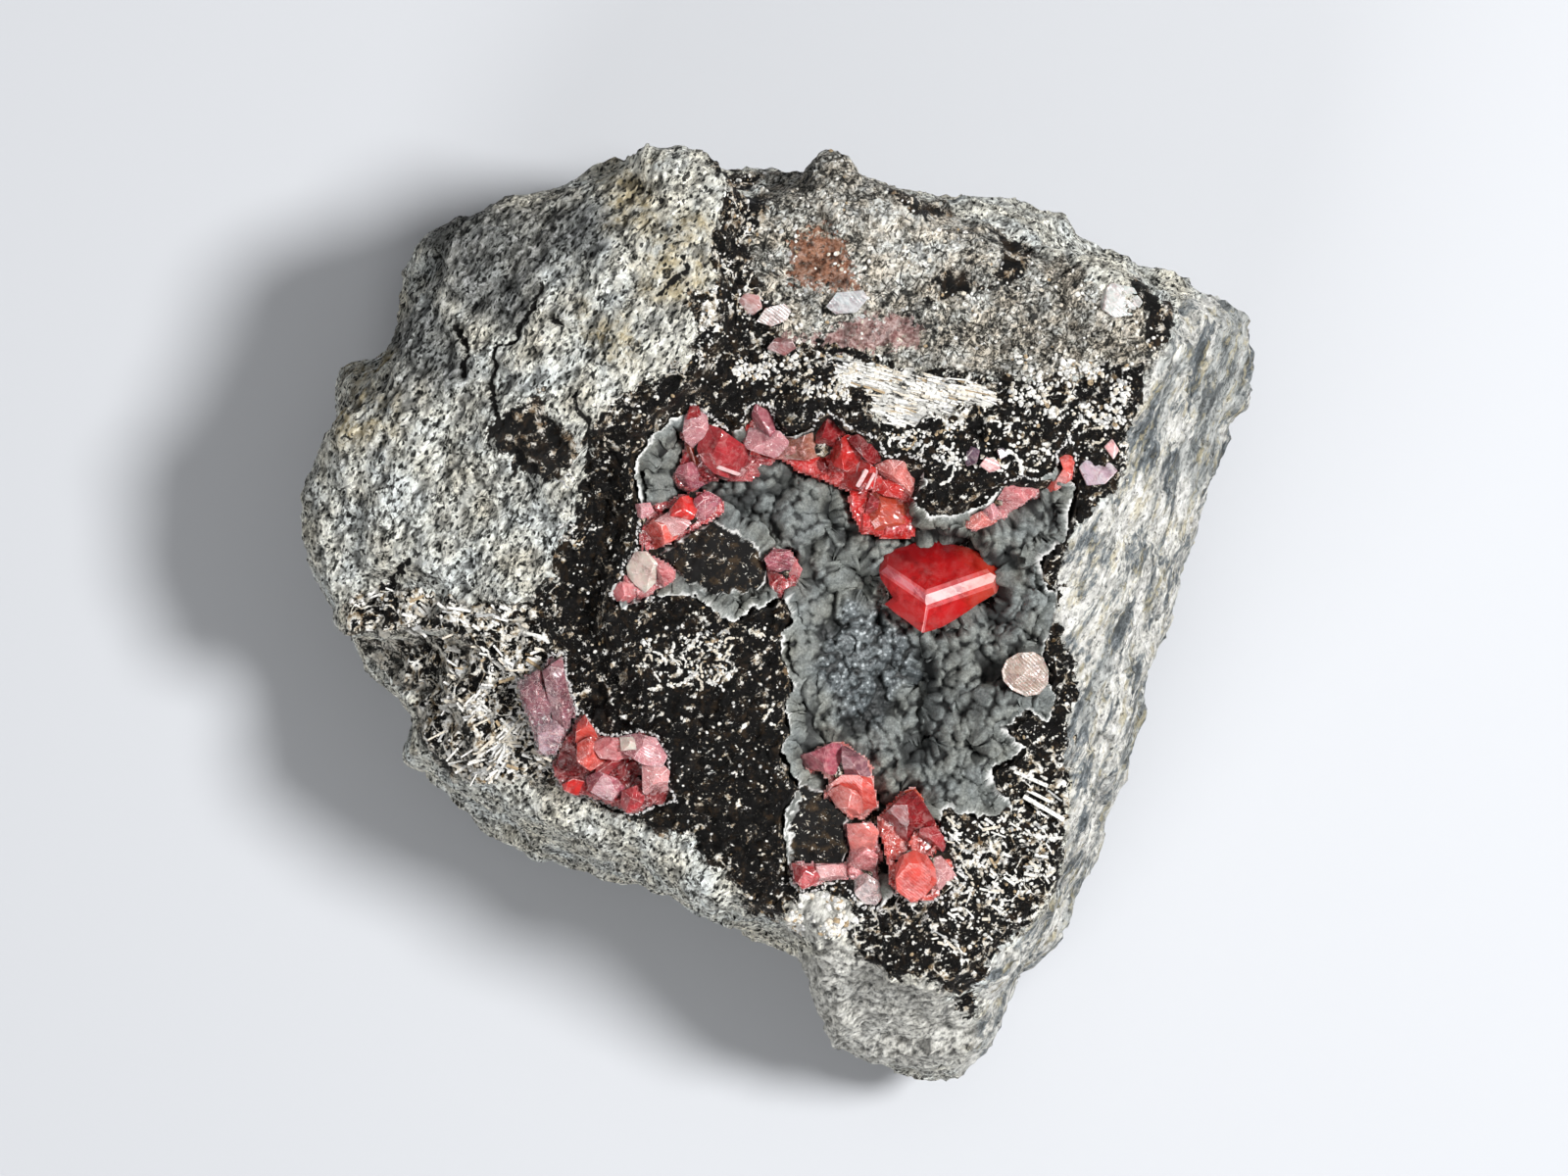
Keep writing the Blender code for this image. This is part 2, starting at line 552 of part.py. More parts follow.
def build_crystals(parts, cutters, rock, crust):
    made = []
    count = 0
    for name, (colour, shapes) in CRYSTALS.items():
        crystal = None
        for corners in shapes:
            low = CRYSTAL_FOOT + 0.17 * (count % 9)
            count += 1
            corners = corners + foot_corners(corners, low, 0.86)
            block = new_object(name, hull_mesh(corners), parts)
            if crystal is None:
                crystal = block
            else:
                boolean(crystal, block, "UNION")
            make_room([hull_mesh(corners)], [rock, crust], cutters)
        crystal.data.materials.append(new_material(name, colour, 0.2))
        made.append(crystal)
    main = new_object("main_crystal", main_crystal_mesh(), parts)
    main.data.materials.append(new_material("main_crystal", (0.78, 0.03, 0.03), 0.1))
    make_room([main_crystal_mesh()], [rock, crust], cutters)
    made.append(main)
    return made


def main():
    clear_scene()
    parts = new_collection("rhodochrosite_specimen")
    cutters = new_collection("cutters")
    rock, tree = build_rock(parts, cutters)
    crust = build_crust(parts, cutters, tree)
    build_crystals(parts, cutters, rock, crust)
    flat = crust.modifiers.new("flat foot", "DECIMATE")
    flat.decimate_type = "DISSOLVE"
    flat.angle_limit = math.radians(0.6)
    bake_modifiers(crust)
    for thing in parts.objects:
        tidy(thing)
    keep_largest_body(rock)
    keep_largest_body(crust)
    rock.data.materials.append(new_material("pale_rock", (0.55, 0.53, 0.48), 0.85))
    crust.data.materials.append(new_material("dark_crust", (0.10, 0.12, 0.12), 0.5))


main()
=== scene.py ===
import math

import bmesh
import bpy
import numpy as np
from mathutils import Matrix, Vector, noise
from mathutils.bvhtree import BVHTree
from mathutils.kdtree import KDTree


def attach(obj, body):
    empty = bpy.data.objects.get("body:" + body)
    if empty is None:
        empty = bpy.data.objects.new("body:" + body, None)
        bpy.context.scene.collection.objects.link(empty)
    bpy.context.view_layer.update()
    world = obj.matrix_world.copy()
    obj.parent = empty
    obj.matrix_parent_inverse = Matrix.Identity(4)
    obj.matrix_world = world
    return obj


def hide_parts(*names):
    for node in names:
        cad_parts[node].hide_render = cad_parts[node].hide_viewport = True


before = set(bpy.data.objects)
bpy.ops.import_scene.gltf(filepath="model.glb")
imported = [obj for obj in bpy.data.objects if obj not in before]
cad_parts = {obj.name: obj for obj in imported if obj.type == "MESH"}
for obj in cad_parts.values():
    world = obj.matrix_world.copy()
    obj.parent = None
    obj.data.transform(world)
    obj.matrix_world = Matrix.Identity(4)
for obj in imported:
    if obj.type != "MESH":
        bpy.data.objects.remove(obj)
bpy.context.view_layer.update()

# Rhodochrosite specimen. Outlines and places below are in millimetres, seen from
# above, with +X towards the steep white side and +Y towards the far edge.
mm = 0.001


# Numbers on points
def segmentDistance(points, start, end):
    dx, dy = end[0] - start[0], end[1] - start[1]
    px, py = points[:, 0] - start[0], points[:, 1] - start[1]
    along = np.clip((px * dx + py * dy) / (dx * dx + dy * dy), 0, 1)
    return np.hypot(px - along * dx, py - along * dy)


def lineDistance(points, line):
    return np.min([segmentDistance(points, start, end) for start, end in zip(line, line[1:])], axis=0)


def insideDistance(points, outline):
    # distance to the outline, positive inside it
    corners = np.array(outline, float)
    best = np.full(len(points), 1e9)
    odd = np.zeros(len(points), bool)
    for start, end in zip(corners, np.roll(corners, -1, axis=0)):
        best = np.minimum(best, segmentDistance(points, start, end))
        if start[1] != end[1]:
            crosses = (start[1] > points[:, 1]) != (end[1] > points[:, 1])
            meets = start[0] + (end[0] - start[0]) * (points[:, 1] - start[1]) / (end[1] - start[1])
            odd ^= crosses & (points[:, 0] < meets)
    return np.where(odd, best, -best)


def soft(value, low, high):
    share = np.clip((value - low) / (high - low), 0, 1)
    return share * share * (3 - 2 * share)


def grain(points, size, seed=0.0, octaves=1):
    places = (points / size + seed).tolist()
    if octaves == 1:
        return np.array([noise.noise(p) for p in places])
    return np.array([noise.fractal(p, 0.75, 2.1, octaves) for p in places])


def chips(points, size, seed):
    # flat tilted chips with small steps between them, as on a broken face
    out = np.empty(len(points))
    for i, place in enumerate((points / size + seed).tolist()):
        centre = noise.voronoi(place)[1][0]
        toss = noise.cell_vector(centre * 3.7)
        tilt = (toss[0] - 0.5) * (place[0] - centre[0]) + (toss[1] - 0.5) * (place[1] - centre[1])
        tilt += (toss[2] - 0.5) * (place[2] - centre[2])
        out[i] = 1.6 * tilt + 0.9 * (toss[0] + toss[1] + toss[2] - 1.5)
    return out


def slanted(points, turn, stretch):
    # coordinates turned about Z and squeezed along the turned X, for streaks
    c, s = math.cos(math.radians(turn)), math.sin(math.radians(turn))
    along = c * points[:, 0] + s * points[:, 1]
    across = -s * points[:, 0] + c * points[:, 1]
    return np.stack([along / stretch, across, points[:, 2]], axis=1)


# Meshes
def vertexPlaces(mesh):
    flat = np.empty(len(mesh.vertices) * 3)
    mesh.vertices.foreach_get("co", flat)
    return flat.reshape(-1, 3) / mm


def vertexNormals(mesh):
    flat = np.empty(len(mesh.vertices) * 3)
    mesh.vertex_normals.foreach_get("vector", flat)
    return flat.reshape(-1, 3)


def setPlaces(mesh, points):
    mesh.vertices.foreach_set("co", (points * mm).ravel())
    mesh.update()


def setColours(mesh, name, red, green=0, blue=0, domain="POINT"):
    layer = mesh.attributes.new(name, "FLOAT_COLOR", domain)
    rows = np.ones((len(red), 4), np.float32)
    rows[:, 0], rows[:, 1], rows[:, 2] = red, green, blue
    layer.data.foreach_set("color", rows.ravel())


def newPiece(name, bm, materials, smooth=True):
    mesh = bpy.data.meshes.new(name)
    bm.to_mesh(mesh)
    bm.free()
    mesh.polygons.foreach_set("use_smooth", [smooth] * len(mesh.polygons))
    piece = bpy.data.objects.new(name, mesh)
    bpy.context.scene.collection.objects.link(piece)
    for material in materials:
        mesh.materials.append(material)
    return piece


def finished(piece, slot, *nodes):
    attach(piece, "root")
    if nodes:
        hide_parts(*nodes)
    count = sum(len(p.vertices) - 2 for p in piece.data.polygons)
    print("made", piece.name, "with", count, "triangles")
    return piece


def withModifiers(piece):
    view = bpy.context.evaluated_depsgraph_get()
    mesh = bpy.data.meshes.new_from_object(piece.evaluated_get(view))
    bpy.data.objects.remove(piece)
    return mesh


def largestBody(bm):
    left, best = set(bm.verts), set()
    while left:
        stack = [left.pop()]
        body = set(stack)
        while stack:
            for edge in stack.pop().link_edges:
                for v in edge.verts:
                    if v not in body:
                        body.add(v)
                        stack.append(v)
        left -= body
        if len(body) > len(best):
            best = body
    keepOnly(bm, [v in best for v in bm.verts])


def keepOnly(bm, keep):
    spare = [v for v, kept in zip(bm.verts, keep) if not kept]
    bmesh.ops.delete(bm, geom=spare, context="VERTS")


def flattened(bm):
    # triangles in place of the faces with more than four corners
    bmesh.ops.triangulate(bm, faces=[f for f in bm.faces if len(f.verts) > 4])


def solidCopy(bm, node, drop):
    # adds a merged copy of a CAD solid, lowered by drop millimetres
    part = bmesh.new()
    part.from_mesh(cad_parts[node].data)
    bmesh.ops.remove_doubles(part, verts=part.verts, dist=0.002 * mm)
    bmesh.ops.translate(part, vec=(0, 0, -drop * mm), verts=part.verts)
    mesh = bpy.data.meshes.new("copy")
    part.to_mesh(mesh)
    part.free()
    bm.from_mesh(mesh)
    bpy.data.meshes.remove(mesh)


def treeOf(thing):
    bm = bmesh.new()
    bm.from_mesh(thing.data)
    tree = BVHTree.FromBMesh(bm)
    bm.free()
    return tree


# What a place with no rock under it counts as (mm)
noRock = 20.0


def heightAt(tree, x, y, missing=np.nan):
    # how high a mesh is under one place, from a ray that starts well above it
    hit = tree.ray_cast(Vector((x * mm, y * mm, 70 * mm)), Vector((0, 0, -1)))[0]
    return missing if hit is None else hit.z / mm


# Materials
def setInputs(tree, node, values):
    # a socket is linked, a plain number or colour is set on the node's own input
    for key, value in values.items():
        if isinstance(value, bpy.types.NodeSocket):
            tree.links.new(value, node.inputs[key])
        else:
            node.inputs[key].default_value = value


def addNode(tree, kind, inputs=None, **settings):
    node = tree.nodes.new("ShaderNode" + kind)
    for key, value in settings.items():
        setattr(node, key, value)
    setInputs(tree, node, inputs or {})
    return node


def newMaterial(name):
    material = bpy.data.materials.new(name)
    material.use_nodes = True
    tree = material.node_tree
    # patterns are laid out in millimetres
    place = addNode(tree, "TexCoord").outputs["Object"]
    scaled = addNode(tree, "Mapping", {"Vector": place, "Scale": (1000, 1000, 1000)})
    return material, tree, tree.nodes["Principled BSDF"], scaled.outputs["Vector"]


def leaning(tree, place, turn, along, across):
    # coordinates for a pattern drawn out along one direction seen from above (degrees)
    return addNode(tree, "Mapping", {
        "Vector": place, "Rotation": (0, 0, math.radians(turn)), "Scale": (along, across, across)},
        vector_type="TEXTURE").outputs[0]


def noiseNode(tree, place, scale, detail=3.0, rough=0.6, warp=0.0):
    return addNode(tree, "TexNoise", {"Vector": place, "Scale": scale, "Detail": detail,
                                      "Roughness": rough, "Distortion": warp}).outputs[0]


def waveNode(tree, place, scale, warp, detail, detailScale=1.0):
    return addNode(tree, "TexWave", {
        "Vector": place, "Scale": scale, "Distortion": warp, "Detail": detail,
        "Detail Scale": detailScale}, bands_direction="DIAGONAL").outputs[1]


def rampNode(tree, value, stops):
    ramp = addNode(tree, "ValToRGB", {"Fac": value})
    while len(ramp.color_ramp.elements) < len(stops):
        ramp.color_ramp.elements.new(0.5)
    for element, (where, colour) in zip(ramp.color_ramp.elements, stops):
        element.position = where
        element.color = (*colour, 1) if isinstance(colour, tuple) else (colour,) * 3 + (1,)
    return ramp.outputs[0]


def mathNode(tree, operation, *values, clamp=False):
    inputs = dict(enumerate(values))
    return addNode(tree, "Math", inputs, operation=operation, use_clamp=clamp).outputs[0]


def times(tree, a, b):
    return mathNode(tree, "MULTIPLY", a, b)


def plus(tree, first, *others):
    for other in others:
        first = mathNode(tree, "ADD", first, other)
    return first


def mixNode(tree, share, a, b, blend="MIX"):
    node = addNode(tree, "Mix", data_type="RGBA", blend_type=blend)
    a, b = ((*colour, 1) if isinstance(colour, tuple) else colour for colour in (a, b))
    setInputs(tree, node, {0: share, 6: a, 7: b})
    return node.outputs[2]


def tinted(tree, colour, tint, share=1.0):
    return mixNode(tree, share, colour, tint, "MULTIPLY")


def stepNode(tree, value, low, high):
    return addNode(tree, "MapRange", {0: value, 1: low, 2: high},
                   interpolation_type="SMOOTHSTEP").outputs[0]


def rangeNode(tree, value, low, high, start=0.0, end=1.0):
    return addNode(tree, "MapRange", {0: value, 1: start, 2: end, 3: low, 4: high}).outputs[0]


def crispNode(tree, share, ragged, spread=0.9):
    # a patch's soft share turned into a ragged patch with a crisp border
    shift = times(tree, mathNode(tree, "SUBTRACT", ragged, 0.5), spread * 2)
    patch = stepNode(tree, plus(tree, share, shift), 0.44, 0.56)
    return times(tree, patch, stepNode(tree, share, 0.0, 0.12))


def channels(tree, name):
    colour = addNode(tree, "Attribute", attribute_name=name).outputs["Color"]
    return addNode(tree, "SeparateColor", {0: colour}).outputs[:3]


def bumpNode(tree, height, strength, reach):
    return addNode(tree, "Bump", {"Height": height, "Strength": strength,
                                  "Distance": reach * mm}).outputs["Normal"]


def facets(tree, place, scale):
    # flat grains, each with its own tilt (mm) and its own shade
    cells = addNode(tree, "TexVoronoi", {"Vector": place, "Scale": scale})
    away = addNode(tree, "VectorMath", {0: place, 1: cells.outputs["Position"]},
                   operation="SUBTRACT").outputs[0]
    lean = addNode(tree, "VectorMath", {0: cells.outputs["Color"], 1: (0.5, 0.5, 0.5)},
                   operation="SUBTRACT").outputs[0]
    tilt = addNode(tree, "VectorMath", {0: away, 1: lean}, operation="DOT_PRODUCT")
    shade = addNode(tree, "SeparateColor", {0: cells.outputs["Color"]}).outputs[0]
    return tilt.outputs["Value"], shade


# The rock: how finely it is cut, how far it is lowered under what stands in it, and how far
# its broken surface stands out (mm)
rockSettings = {
    "voxel": 0.86, "fineAbove": 4.0, "foot": 0.45, "crustDrop": 4.2, "crystalDrop": 1.3,
    "hiddenAbove": 33, "hollowFrom": 20, "darkFrom": (38, 41),
    "chipSizes": (4.2, 2.1), "chipSteps": (0.40, 0.24), "pits": 0.36, "fineGrain": 0.16,
    "darkRelief": 0.42, "darkDrop": 0.25, "streakRelief": 0.2, "crackDepth": 0.5, "crackWidth": 1.1,
}

# Outlines of the rock's differently coloured ground, seen from above
zones = {
    "darkVein": [(-7.9, 52.2), (-3.8, 51.9), (-2, 47.4), (-3.8, 41.5), (-2.9, 37), (0.2, 32.7),
        (-3.2, 29.4), (-8.6, 27.1), (-11.3, 27.1), (-9.7, 31), (-10.4, 36.1), (-7.1, 37), (-8, 41.8),
        (-6.3, 46.3)],
    "darkRing": [(-17.8, 25.1), (-15, 26.5), (-11.1, 28), (-7.1, 29.6), (-2.6, 30.3), (1.9, 31),
        (5.9, 30.3), (9.3, 29.1), (14.9, 27.3), (21.1, 26.9), (27.3, 26.2), (32.4, 25.7), (36.4, 27.7),
        (41.4, 28), (41.3, 24.8), (40, 20.3), (39.3, 14.1), (36.4, 11.9), (33.6, 8.5), (32.1, 3.4),
        (31.6, -1.1), (33.9, -6.3), (33.6, -11.9), (32.7, -16.4), (33.4, -20.3), (33, -24.6), (33.2, -28.2),
        (32.5, -32.2), (29.6, -35.9), (26.8, -38.2), (23.9, -41.2), (22.8, -44), (22.9, -48.8),
        (21.1, -47.4), (18.3, -44), (15.5, -42.9), (11.5, -42.3), (9, -40.1), (7, -37.5), (7.7, -33.9),
        (4.2, -32.5), (1.6, -33.9), (-0.3, -36.7), (-3.2, -35.6), (-7.1, -30.5), (-11.1, -26.9),
        (-16.1, -24.6), (-21.2, -23.3), (-24, -21.7), (-26.2, -19.4), (-27.8, -14.1), (-29.1, -9),
        (-31.4, -7.9), (-33.1, -5.6), (-31.4, -2.3), (-28.2, 0.6), (-26.2, 4.5), (-24.6, 9), (-22.8, 13.5),
        (-22.4, 18.1), (-21, 21.5)],
    "darkLedge": [(-51.1, -2.3), (-50.4, 0.9), (-47.2, 2.3), (-42.7, 2.7), (-38.2, 0.6), (-33.6, 0.9),
        (-28.6, -0.2), (-26.9, -3.4), (-28.6, -7.9), (-27.8, -14.1), (-26.2, -19.4), (-29.1, -20.3),
        (-33.6, -19.8), (-37, -21.2), (-41.5, -19.4), (-41.8, -15.8), (-43.2, -13), (-42.1, -9.6),
        (-44.4, -9), (-49.4, -7.3)],
    "mottled": [(-3.7, 51.4), (2.5, 51.9), (5.9, 54.2), (9.3, 51.4), (18.3, 46.9), (29.6, 41.8), (40.9, 35),
        (45.4, 33.9), (44.3, 29.2), (41.4, 26.5), (36.4, 26.5), (32.4, 25.7), (21.1, 26.5), (9.3, 28.9),
        (1.9, 30.7), (-2.6, 30.3), (-3.7, 36.1), (-4.3, 41.8), (-2, 47.4)],
    "whiteFace": [(46.5, 36.1), (44.3, 29.2), (41.8, 26.5), (40.9, 23.7), (39.7, 18.9), (39.1, 13.7),
        (35.6, 11.3), (32.9, 7.8), (31.8, 3.3), (31.5, -1.2), (33.9, -6.3), (33.5, -11.9), (32.3, -16.4),
        (33.4, -20.3), (33, -24.6), (33.2, -28.2), (32.7, -32.2), (29.8, -36.1), (26.8, -38.6),
        (24.2, -41.8), (23.1, -45.2), (23.1, -48.8), (21.7, -55.3), (34.1, -54.2), (58.9, -20.3),
        (58.9, 38.4)],
    "streakPatch": [(5.9, 29.6), (9.3, 28.7), (14.9, 27.1), (21.1, 26.4), (24.2, 25.1), (24.8, 23.5),
        (21.1, 22.6), (17.2, 21.7), (13.2, 20.8), (10.4, 21.7), (9.8, 24.3), (7.2, 25.7), (5.9, 27.7)],
    "whiteGrit": [(0.2, -33.6), (4.2, -32.7), (7.9, -33.9), (9.3, -36.1), (7.2, -37.8), (4.7, -38.6),
        (1.6, -38.2), (0, -36.1)],
    "toePale": [(6.8, -37.8), (9.3, -41.2), (15.5, -42.9), (18.3, -44.3), (21.1, -47.4), (22.8, -49.1),
        (22.2, -55.3), (3.6, -55.3), (1.9, -41.2)],
    "ochreA": [(-22.4, 33.9), (-17.8, 34.1), (-14.7, 31), (-16.7, 28), (-21, 29.1), (-22.8, 31.6)],
    "ochreB": [(-20.1, 51.9), (-15, 51.4), (-14.2, 45.7), (-14.7, 41.8), (-17.8, 43.5), (-20.7, 48.5)],
    "ochreC": [(-51.9, 29.1), (-46.3, 29.1), (-46.1, 18.6), (-52.3, 18.6)],
    "ochreD": [(-15.6, 43.5), (-9.7, 44.6), (-7.1, 36.1), (-11.1, 32.7), (-16.1, 36.1)],
    # darkGreyA and darkGreyB: darker rock, partly painted shade on slopes that face away from the light
    "darkGreyA": [(-42.1, 46.9), (-26.9, 48.5), (-20.1, 46.9), (-20.7, 41.8), (-26.9, 38.4), (-31.4, 32.7),
        (-40.4, 33.9), (-41.8, 40.6)],
    "darkGreyB": [(-45.5, 35.6), (-36.1, 34.4), (-35.9, 27.1), (-40.4, 24.3), (-44.9, 25.4), (-46.6, 31.6)],
    # creamLight: cream rock, partly painted light on the shoulder top
    "creamLight": [(-12.2, 42.3), (-7.1, 42.3), (-8.6, 32.7), (-11.1, 27.7), (-17.8, 24.8), (-20.1, 25.7),
        (-15.6, 32.7)],
    "rust": [(1.2, 42.3), (4.7, 43.4), (7.7, 41.2), (7.9, 37.5), (3.6, 36.1), (0.9, 38.4)],
    "pinkStain": [(-6, 32.7), (0.2, 31), (5.9, 32.2), (14.3, 32.7), (14.9, 31), (7, 29.4), (0.2, 28),
        (-5.6, 29.4)],
    "paleLump": [(9.3, 46.9), (16, 47.4), (20.8, 44.6), (20.8, 37.8), (15.5, 36.1), (10.6, 37.8),
        (8.8, 42.3)],
    "greyLens": [(4.5, 47.4), (7.7, 48.5), (9.9, 46.9), (9.7, 43.5), (6.8, 42.7), (4.5, 44.6)],
    "whiteChip": [(36.1, 37), (39.7, 37.5), (41.8, 36.1), (40.9, 33.6), (37.5, 33.2)],
    "blotA": [(24.4, 42.9), (28.2, 43.1), (28, 40.4), (26.6, 37.3), (24.2, 37.5), (25.3, 40.4)],
    "blotB": [(18.1, 37.8), (21.5, 38.8), (21.7, 36.1), (20, 34.3), (17.7, 35.2)],
    "blotC": [(12.1, 48.8), (15.5, 47.6), (19.2, 46.1), (18.3, 45.4), (14.3, 46.5), (12.1, 47.4)],
    "blotD": [(37.5, 38.2), (41.4, 38.2), (45.2, 34.8), (45.2, 30.5), (42.2, 30.3), (41.8, 34.1),
        (39.7, 37.3)],
    "blotE": [(-33.6, 22), (-28.6, 24.3), (-26.9, 21.5), (-24, 16.9), (-26.9, 14.7), (-30.3, 15.8),
        (-32.5, 18.6)],
    "rightGrains": [(25.5, 29.5), (36, 28.5), (40.5, 26.5), (39.5, 20.5), (33, 21), (26, 23.5)],
    "upperBand": [(-6, 30), (4, 31), (10, 28.5), (8, 23.5), (2, 24.5), (-6, 25)],
    "lowerRight": [(19, -23.5), (27, -22.5), (31, -18), (33, -23), (32, -31), (26, -37), (20, -41),
        (17, -38), (19, -33)],
    "fan": [(-43.6, -19.4), (-42.6, -13.5), (-38.5, -9.6), (-31.5, -9), (-29.4, -14), (-33, -19.5)],
    "curlBand": [(10.2, 21.5), (37, 22.3), (38, 18), (30, 16.5), (22, 13.6), (17.5, 17), (12, 18.4)],
    "centreVein": [(-17, -3.4), (-6.5, -2.3), (-6, -8.4), (-12, -9.7), (-17, -9.6)],
    "leftRing": [(-26, 12), (-21, 24), (-18.5, 23), (-20, 10), (-23.5, 5)],
}
cracks = {
    "crackA": [(-28.1, 37.5), (-28.8, 34.1), (-30, 32.9), (-32.7, 30.1), (-33.8, 25.5), (-32.7, 22.2),
        (-33.8, 19.2)],
    "crackB": [(-37.7, 32.7), (-36.4, 29.5), (-37.7, 27)],
    "crackC": [(-26.8, 33.8), (-25.7, 32.2)],
    "crackD": [(-42.9, 5.5), (-46.6, 2.3), (-50.4, -0.7)],
    "crackE": [(-24, 24.8), (-22.4, 21.5), (-21.7, 17.8), (-22.6, 13.5)],
    "crackF": [(-11.1, 40.4), (-12.2, 37.3), (-13.8, 35.9)],
}


def zoneShare(plan, jitter, names, low=-0.9, high=0.9):
    best = np.full(len(plan), -1e9)
    for name in names:
        best = np.maximum(best, insideDistance(plan, zones[name]))
    return soft(best + jitter, low, high)


def rockMesh():
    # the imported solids, lowered where the crust and crystals stand in them, as one skin
    bm = bmesh.new()
    solidCopy(bm, "matrix", 0)
    solidCopy(bm, "vug_lining", rockSettings["crustDrop"])
    for node in crystalLooks:
        solidCopy(bm, node, rockSettings["crystalDrop"])
    piece = newPiece("skin", bm, [])
    remesh = piece.modifiers.new("even faces", "REMESH")
    remesh.mode = "VOXEL"
    remesh.voxel_size = rockSettings["voxel"] * mm
    mesh = withModifiers(piece)
    bm = bmesh.new()
    bm.from_mesh(mesh)
    largestBody(bm)
    for v in bm.verts:
        if v.co.z < rockSettings["foot"] * mm:
            v.co.z = 0
    foot = [f for f in bm.faces if all(v.co.z == 0 for v in f.verts)]
    bmesh.ops.dissolve_faces(bm, faces=foot)

    # finer faces where the rock is seen from above, not under the crust or the black ground
    bm.normal_update()
    middles = np.array([f.calc_center_median()[:] for f in bm.faces]) / mm
    hidden = insideDistance(middles[:, :2], rim) > -0.5
    for name in ("darkRing", "darkVein", "darkLedge"):
        hidden |= insideDistance(middles[:, :2], zones[name]) > 1.6
    hidden &= middles[:, 2] > rockSettings["hiddenAbove"]
    seen = [f for f, mid, under in zip(bm.faces, middles, hidden) if not under
            and f.normal.z > 0.2 and mid[2] > rockSettings["fineAbove"]]
    edges = list(dict.fromkeys(e for f in seen for e in f.edges))
    bmesh.ops.subdivide_edges(bm, edges=edges, cuts=1, use_grid_fill=True)
    upper = [v for v in bm.verts if v.co.z > 0.6 * mm]
    bmesh.ops.smooth_vert(bm, verts=upper, factor=0.4, use_axis_x=True, use_axis_y=True,
                          use_axis_z=True)
    flattened(bm)
    return bm


def buildRock(material):
    piece = newPiece("pale_rock", rockMesh(), [material])
    mesh = piece.data
    points, normals = vertexPlaces(mesh), vertexNormals(mesh)
    plan = points[:, :2]
    print("rock has", len(points), "vertices")
    ragged = 1.5 * grain(points, 3.0, 2.0) + 0.8 * grain(points, 1.1, 5.0)
    wide = 3.0 * grain(points, 6.0, 11.0)
    dark = zoneShare(plan, ragged, ["darkRing", "darkVein"])
    ledge = zoneShare(plan, ragged + 0.4 * wide, ["darkLedge"], -1.6, 1.6)
    mottled = zoneShare(plan, ragged, ["mottled"], -1.5, 1.5)
    white = zoneShare(plan, 0.6 * ragged, ["whiteFace"], -0.5, 0.5)
    streak = zoneShare(plan, ragged, ["streakPatch"], -0.6, 0.6)
    grit = zoneShare(plan, ragged, ["whiteGrit", "toePale"], -0.8, 0.8)
    blot = zoneShare(plan, 1.3 * ragged, ["blotA", "blotB", "blotC", "blotD", "blotE"], -0.7, 0.7)
    ochre = zoneShare(plan, wide, ["ochreA", "ochreB", "ochreC", "ochreD"], -2, 2)
    rust = zoneShare(plan, wide, ["rust"], -1.6, 1.6)
    pink = zoneShare(plan, 0.7 * wide, ["pinkStain"], -1.2, 1.2)
    # darker grey zones, partly painted shade, and cream zones, partly painted light
    shade = zoneShare(plan, wide, ["darkGreyA", "darkGreyB"], -2, 2)
    cream = zoneShare(plan, wide, ["creamLight", "paleLump", "greyLens", "whiteChip"], -1.2, 1.2)
    wobble = np.stack([0.9 * grain(points, 2.0, seed) + 0.4 * grain(points, 0.7, seed + 5)
                       for seed in (31.0, 41.0)], axis=1)
    crack = np.zeros(len(points))
    for line in cracks.values():
        crack = np.maximum(crack, 1 - lineDistance(plan + wobble, line) / rockSettings["crackWidth"])
    crack *= points[:, 2] > rockSettings["hollowFrom"]
    dark = np.maximum(dark * (1 - streak) * (1 - 0.9 * grit), blot)
    flank = np.maximum(soft(normals[:, 2], 0.2, 0.5),
                       soft(points[:, 2] + 2 * ragged, *rockSettings["darkFrom"]))
    dark *= (1 - white) * flank
    ledge *= flank

    # long pits and ridges that lean the same way, then sponge-like dark ground
    lean = slanted(points, 58, 2.6)
    pits = soft(grain(lean, 0.85, 3.0) + 0.5 * grain(lean, 0.42, 8.0), 0.05, 0.6)
    sponge = grain(points, 1.35, 17.0) + 0.6 * grain(points, 0.7, 23.0)
    fleck = sponge + 0.35 * grain(points, 2.8, 41.0)
    calm = np.maximum(np.maximum(dark, white), 0.5 * mottled)
    height = sum(step * chips(points + 0.48 * ragged[:, None], size, 7.0 * size)
                 for size, step in zip(rockSettings["chipSizes"], rockSettings["chipSteps"]))
    height -= rockSettings["pits"] * pits * (1 - calm)
    height += rockSettings["fineGrain"] * grain(points, 0.8, 13.0, 3)
    height += rockSettings["darkRelief"] * sponge * np.maximum(dark, 0.6 * ledge)
    height -= rockSettings["darkDrop"] * dark
    height += rockSettings["streakRelief"] * grain(slanted(points, 66, 3.5), 1.3, 6.0) * white
    height -= rockSettings["crackDepth"] * soft(crack, 0.35, 0.85)
    height *= soft(points[:, 2], 0.3, 2.5)
    points += normals * height[:, None]
    points[:, 2] = np.maximum(points[:, 2], 0)
    setPlaces(mesh, points)
    # relief is lower in the pits and sponge hollows, where the material paints shade
    relief = np.clip(0.5 - 0.5 * pits * (1 - calm) + 0.22 * sponge, 0, 1)
    setColours(mesh, "ground", dark, white, ledge)
    setColours(mesh, "tint", ochre, rust, pink)
    setColours(mesh, "patch", mottled, shade, cream)
    setColours(mesh, "detail", relief, 0.5 + 0.35 * fleck, np.maximum(crack, 0))
    setColours(mesh, "mineral", grit, streak)
    return finished(piece, "pale_rock", "matrix")


